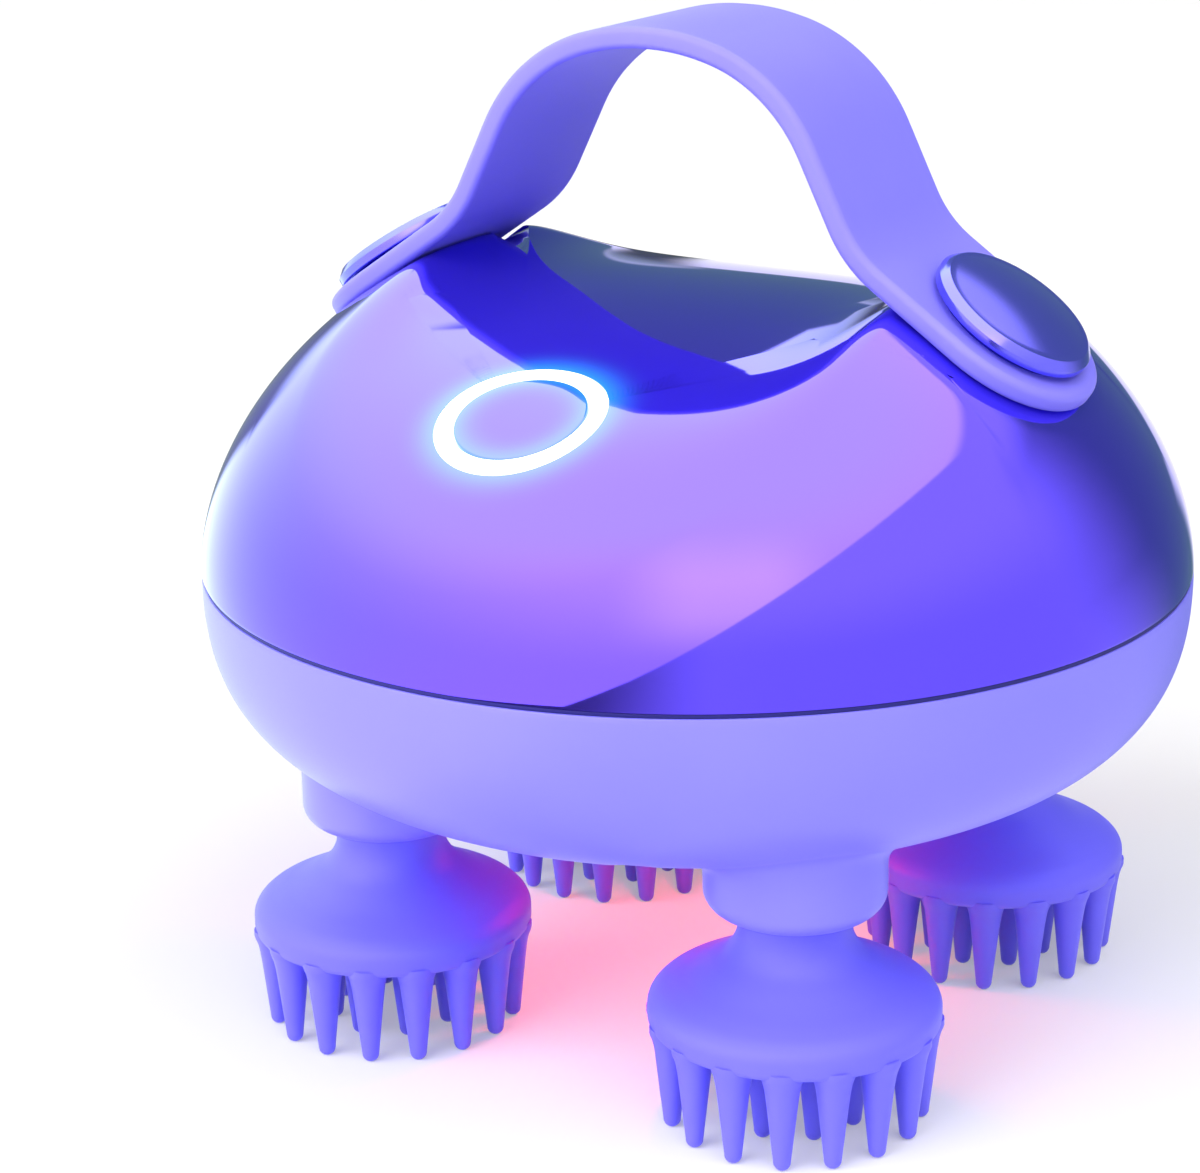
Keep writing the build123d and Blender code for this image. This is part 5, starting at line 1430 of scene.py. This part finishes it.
# ---------------------------------------------------------------- studio
@dataclass(frozen=True)
class PaintedReflection:
    """A painted reflection that only gloss sees: a broad bright panel from the left over the top to a
    straight edge at the right, a plain wall beyond it, and dark flags at the right and the back, none of them
    in the scene.

    A bearing is in degrees from the front to the right, up to 360, and a rise is in degrees over the
    horizon. A span's first end is where a change starts, and its second is where it is complete.
    """

    edge_azimuth: float = 15.0
    edge_rise: float = 47.5
    edge_span: Pair = (-0.005, 0.005)
    back_bearing: float = 209.0
    back_low: Pair = (3.0, 12.0)
    back_low_shift: float = 4.2
    back_high: float = 19.0
    back_high_shift: float = 0.3
    back_start: Pair = (101.0, 106.0)
    back_span: Pair = (0.5, -0.5)
    top_raise: Pair = (150.0, 170.0)
    top_raised: float = 4.0
    top_lower: Pair = (175.0, 185.0)
    top_lowered: float = 10.0
    top_span: Pair = (45.0, 47.4)
    rear: Pair = (150.0, 180.0)
    behind: tuple[Pair, Pair, float] = ((232.0, 216.0), (34.0, 0.0), 0.7)
    left_flag: tuple[Pair, Pair, float] = ((241.0, 236.5), (8.0, -1.0), 0.85)
    glow: tuple[Pair, Pair] = ((5.0, 30.0), (8.0, 28.0))
    glow_end: tuple[Pair, Pair] = ((70.0, 45.0), (56.0, 36.0))
    glow_level: float = 1.3
    panel_span: Pair = (0.0, 52.0)
    panel_levels: Pair = (2.1, 1.8)
    low_span: Pair = (3.0, -7.0)
    low_shift: float = 33.0
    low_edge: Pair = (0.5, 3.5)
    flag_start: Pair = (118.0, 158.0)
    flag_end: Pair = (1.0, -1.0)
    flag_top_span: Pair = (185.0, 195.0)
    flag_tops: Pair = (34.0, 6.0)
    flag_fade: Pair = (6.0, -2.0)
    flag_colour: Colour = (0.14, 0.26, 0.24, 1.0)
    wall_span: Pair = (8.0, 36.0)
    wall_levels: Pair = (1.15, 0.5)
    wall_side: Pair = (4.0, 34.0)
    wall_side_levels: Pair = (0.03, 0.97)
    warm_span: Pair = (-95.0, 0.0)
    upper_span: Pair = (35.0, 66.0)
    cool: Colour = (0.88, 1.1, 1.0, 1.0)
    warm: Colour = (1.06, 0.88, 1.0, 1.0)
    upper: Colour = (0.98, 1.03, 1.0, 1.0)

    def build(self, nodes: NodeTree, direction: ShaderMath) -> ShaderMath:
        """Adds the painted reflection to a tree.

        Args:
            nodes: the tree that the value is worked out in.
            direction: the direction, of length 1.

        Returns:
            The colour, in which 1 is white.
        """
        x, y, z = (nodes.node("SeparateXYZ", inputs={0: direction}, result=axis) for axis in "XYZ")
        bearing = x.math("ARCTAN2", 0.0 - y) * math.degrees(1)
        rise = z.math("ARCSINE") * math.degrees(1)
        round_about = bearing + bearing.math("LESS_THAN", 0.0) * 360.0
        back_end = (nodes.ease(rise, *self.back_low) * self.back_low_shift
                    + (rise - self.back_high).math("MAXIMUM", 0.0) * self.back_high_shift + self.back_bearing)

        inward = self.inward()
        over_edge = x * inward.x + y * inward.y + z * inward.z
        top_edge = (nodes.ease(round_about, *self.top_raise) * self.top_raised
                    - nodes.ease(round_about, *self.top_lower) * self.top_lowered)
        at_back = (nodes.ease(round_about, *self.back_start)
                   * nodes.ease(round_about - back_end, *self.back_span))
        above = nodes.ease(rise - top_edge, *self.top_span)
        panel = nodes.ease(over_edge, *self.edge_span) * (1.0 - at_back * (1.0 - above))
        beyond = nodes.tint(self.flag(nodes, round_about, rise, back_end), self.wall(nodes, bearing, rise),
                            self.flag_colour)
        return nodes.tint(panel, beyond, self.panel(nodes, bearing, round_about, rise))

    def inward(self) -> Vector:
        """The upward normal of the plane through the panel's straight edge and the object."""
        turn, lean = math.radians(self.edge_azimuth), math.radians(self.edge_rise)
        level = Vector((math.sin(turn), -math.cos(turn), 0))
        high = Vector((math.cos(turn) * math.cos(lean), math.sin(turn) * math.cos(lean), math.sin(lean)))
        normal = high.cross(level).normalized()
        return normal if normal.z > 0 else -normal

    def panel(self, nodes: NodeTree, bearing: ShaderMath, round_about: ShaderMath,
              rise: ShaderMath) -> ShaderMath:
        """The painted panel's colour: brighter with its rise and in one patch, and dimmer in two at the rear.
        """
        glow = nodes.ease(bearing, *self.glow[0]) * nodes.ease(bearing, *self.glow_end[0])
        glow = glow * nodes.ease(rise, *self.glow[1]) * nodes.ease(rise, *self.glow_end[1])
        low, more = self.panel_levels
        level = nodes.ease(rise, *self.panel_span) * more + low + glow * self.glow_level
        rear = nodes.ease(round_about, *self.rear)
        for across, up, share in (self.behind, self.left_flag):
            level = level * (1.0 - rear * nodes.ease(round_about, *across) * nodes.ease(rise, *up) * share)
        tint = nodes.tint(nodes.ease(bearing, *self.warm_span), self.cool, self.warm)
        tint = nodes.tint(nodes.ease(rise, *self.upper_span), tint, self.upper)
        return nodes.node("VectorMath", {"operation": "SCALE"}, {0: tint, "Scale": level})

    def flag(self, nodes: NodeTree, round_about: ShaderMath, rise: ShaderMath,
             back_end: ShaderMath) -> ShaderMath:
        """How much of the painted dark flag at the back stands in a direction: it is narrower near the floor.
        """
        low = nodes.ease(rise, *self.low_span)
        edge = low * self.low_edge[1] + self.low_edge[0]
        top = nodes.ease(round_about, *self.flag_top_span) * self.flag_tops[1] + self.flag_tops[0]
        end = nodes.ease((round_about - (back_end - low * self.low_shift)) / edge, *self.flag_end)
        return nodes.ease(round_about, *self.flag_start) * nodes.ease(rise - top, *self.flag_fade) * end

    def wall(self, nodes: NodeTree, bearing: ShaderMath, rise: ShaderMath) -> ShaderMath:
        """The painted wall's grey: brighter with its rise, and dark straight ahead."""
        low, more = self.wall_levels
        side_low, side_more = self.wall_side_levels
        side = nodes.ease(bearing.math("ABSOLUTE"), *self.wall_side) * side_more + side_low
        level = (nodes.ease(rise, *self.wall_span) * more + low) * side
        return nodes.node("CombineXYZ", inputs={0: level, 1: level, 2: level})


@dataclass
class Studio:
    """The camera, a pale floor, two broad soft panels, and a world that is plain but shows gloss a painted
    reflection of a studio.
    """

    azimuth: float = 29.5
    elevation: float = 17.05
    distance: float = 370.0
    roll: float = -0.18
    focal_pixels: float = 3130.6
    image: tuple[int, int] = (1200, 1173)
    principal: Pair = (697.7, 548.4)
    sensor: float = 36.0
    key_place: Triple = (-1.5, -3.2, 2.3)
    key_radiance: float = 3.7
    side_place: Triple = (2.0, -0.8, 3.6)
    side_radiance: float = 2.0
    panel_size: float = 4.4
    world_level: float = 0.36
    floor_size: float = 6.0
    floor_albedo: float = 0.93
    floor_roughness: float = 0.9
    floor_white: float = 0.3
    painted_reflection: PaintedReflection = field(default_factory=PaintedReflection)

    def camera(self) -> None:
        """A camera turned about the seam's middle, shifted so that the frame is the wanted one."""
        azimuth, elevation = math.radians(self.azimuth), math.radians(self.elevation)
        back = Vector((math.sin(azimuth) * math.cos(elevation), -math.cos(azimuth) * math.cos(elevation),
                       math.sin(elevation)))
        data = bpy.data.cameras.new("camera")
        data.sensor_width = self.sensor
        data.sensor_fit = "HORIZONTAL"
        data.lens = self.focal_pixels * self.sensor / self.image[0]
        data.shift_x = (self.image[0] / 2 - self.principal[0]) / self.image[0]
        data.shift_y = (self.principal[1] - self.image[1] / 2) / self.image[0]
        data.clip_start = 0.01
        camera = new_object("camera", data)
        camera.location = Vector((0, 0, SEAM_Z * MM)) + back * self.distance * MM
        upright = (-back).to_track_quat("-Z", "Y").to_matrix()
        roll = Matrix.Rotation(math.radians(self.roll), 3, "Z")
        camera.rotation_euler = (upright @ roll).to_euler()
        bpy.context.scene.camera = camera

    def light(self, name: str, place: Triple, radiance: float) -> None:
        """A broad soft panel that faces the object. What gloss mirrors of the studio is a painted reflection
        in the world.
        """
        data = bpy.data.lights.new(name, "AREA")
        data.shape = "SQUARE"
        data.size = self.panel_size
        data.energy = radiance * math.pi * self.panel_size**2
        panel = new_object(name, data)
        panel.location = Vector(place)
        aim = Vector((0, 0, SEAM_Z * MM)) - panel.location
        panel.rotation_euler = aim.to_track_quat("-Z", "Y").to_euler()
        panel.visible_camera = False
        panel.visible_glossy = False

    def world(self) -> None:
        """White where it is seen, a painted reflection of a studio where it is mirrored, and a plain soft
        fill elsewhere.
        """
        world = bpy.data.worlds.new("studio")
        world.use_nodes = True
        nodes = NodeTree(world.node_tree)
        # Painted reflection: gloss sees lit panels, a wall and dark flags that are only painted into the
        # world.
        mirrored = self.painted_reflection.build(nodes, nodes.node("TexCoord", result="Generated"))
        fill = (self.world_level, self.world_level, self.world_level, 1.0)
        light = nodes.tint(nodes.mirror(), fill, mirrored)
        light = nodes.tint(nodes.seen("Is Camera Ray", "Is Transmission Ray"), light, WHITE)
        background = nodes.node("Background", inputs={"Color": light, "Strength": 1.0})
        output = nodes.tree.nodes.new("ShaderNodeOutputWorld")
        nodes.tree.links.new(background.socket, output.inputs[0])
        bpy.context.scene.world = world

    def floor(self) -> None:
        """A pale floor that keeps the object's shadow, and shows gloss the painted reflection of the studio
        where it is mirrored.
        """
        half = self.floor_size / 2
        mesh = bpy.data.meshes.new("floor")
        mesh.from_pydata([(-half, -half, 0), (half, -half, 0), (half, half, 0), (-half, half, 0)], [],
                         [(0, 1, 2, 3)])
        floor = new_object("floor", mesh)
        shader = Shader("pale_floor")
        pale = (*[self.floor_albedo] * 3, 1.0)
        shader.surface(Base_Color=pale, Roughness=self.floor_roughness, Specular_IOR_Level=0.0)
        offset = shader.node("VectorMath", {"operation": "SUBTRACT"},
                             {0: shader.place(), 1: (0.0, 0.0, SEAM_Z * MM)})
        direction = shader.node("VectorMath", {"operation": "NORMALIZE"}, {0: offset})
        # Painted reflection: to gloss, the floor emits the same painted studio as the world.
        mirrored, white = (shader.node("Emission", inputs={"Color": colour, "Strength": 1.0})
                           for colour in (self.painted_reflection.build(shader, direction), WHITE))
        matt = ShaderMath(shader.tree, shader.principled.outputs[0])
        share = shader.seen("Is Camera Ray") * self.floor_white
        plain = shader.node("MixShader", inputs={0: share, 1: matt, 2: white})
        mixed = shader.node("MixShader", inputs={0: shader.mirror(), 1: plain, 2: mirrored})
        shader.tree.links.new(mixed.socket, shader.output.inputs["Surface"])
        mesh.materials.append(shader.material)

    def build(self) -> None:
        """Makes the studio."""
        scene = bpy.context.scene
        scene.view_settings.view_transform = "Standard"
        self.camera()
        self.light("key_panel", self.key_place, self.key_radiance)
        self.light("side_panel", self.side_place, self.side_radiance)
        self.world()
        self.floor()
        log.info("studio is set")


# ---------------------------------------------------------------- everything
@dataclass
class Workshop:
    """Every finish by its slot."""

    form: CaseForm
    button: Button
    made: dict[str, Material] = field(default_factory=dict)

    def finishes(self) -> dict[str, Any]:
        """The finish of each slot of the record."""
        centre = tuple(self.button.frame_at(self.form).translation)
        mean = (self.button.radius + self.button.ring_radius) / 2
        return {
            "shell_gloss": Lacquer("violet_lacquer", "644EFA", "604AF5", "18B4FF", 0.9, 2.6, centre, mean),
            "shell_satin": Moulded("satin_violet", "8680FF", "807AFC", 0.42, grain_depth=0.000012),
            "gasket": Moulded("dark_blue_gasket", "100C78", "0C0860", 0.6),
            "strap_silicone": Moulded("strap_silicone", "8880FF", "8078FC", 0.5, sheen=0.25, soft=0.05),
            "head_silicone": Moulded("head_silicone", "726CFF", "6C66FA", 0.55, sheen=0.2, soft=0.05),
            "cap_gloss": Moulded("cap_lacquer", "6C68F4", "6864EC", 0.15, 0.02, metallic=0.8,
                                 grain_depth=0.000003),
            "cap_trim": Moulded("cap_trim", "1C18B0", "1814A0", 0.25, 0.03, metallic=0.6),
            "ring_light": Lit("ring_diffuser", "F4F8FF", "FFFFFF", "F2FBFF", 1.6),
            "red_light": Lit("red_lens", "D80A06", "FF1408", "F00C04", 45.0),
            "led": Lit("led_phosphor", "F6E9A0", "FFF2B8", "F0E090", 0.3),
            "core_plastic": Moulded("core_plastic", "D8D8E0", "CECED8", 0.45),
            "gear_plastic": Moulded("acetal", "F0EEE2", "E6E3D4", 0.4),
            "steel": Metal("ground_steel", "C8CACE", "A4A8AE", 0.28),
            "brass": Metal("turned_brass", "E0B868", "C09848", 0.28, (8.0, 8.0, 1.0)),
            "seal_rubber": Moulded("seal_rubber", "18181C", "101014", 0.6),
            "iron": Metal("laminated_iron", "6A6A70", "4C4C52", 0.5, (1.0, 1.0, 14.0)),
            "battery_wrap": Moulded("battery_wrap", "2A6CD0", "2460C0", 0.3, coat=0.5),
            "board_laminate": Laminate("board_laminate", "0C4A28", "1A6A3A"),
            "component": Moulded("component_resin", "202024", "18181C", 0.4),
            "wire": Moulded("wire_sleeve", "C81E1E", "B01818", 0.4),
        }

    def material(self, slot: str) -> Material:
        """The material of a slot, made once."""
        if slot not in self.made:
            self.made[slot] = self.finishes()[slot].build()
        return self.made[slot]

    def dress_nodes(self) -> None:
        """Gives every CAD node that still shows its slot's material."""
        for part in frame["record"]["subparts"]:
            node = frame["nodes"][part["node"]]
            for place in node.material_slots:
                place.material = self.material(part["material_slot"])


def main() -> None:
    """Builds the studio, then each sub-assembly in order."""
    form = CaseForm()
    button = Button()
    shop = Workshop(form, button)
    Studio().build()
    shop.dress_nodes()
    UpperShell(form, button, ChargingPort()).build(shop.material("shell_gloss"))
    LowerShell(form).build(shop.material("shell_satin"), [place.centre for place in HeadPlace])
    Strap(form).build(shop.material("strap_silicone"))
    StrapCaps(form).build(shop.material("cap_gloss"), shop.material("cap_trim"))
    ButtonFace(form, button).build(shop.material("ring_light"), shop.material("shell_gloss"))
    for place in HeadPlace:
        MassageHead().build(place, shop.material("head_silicone"))
    Trim(form).build(shop.material("gasket"), shop.material("red_light"))


if __name__ == "__main__":
    main()
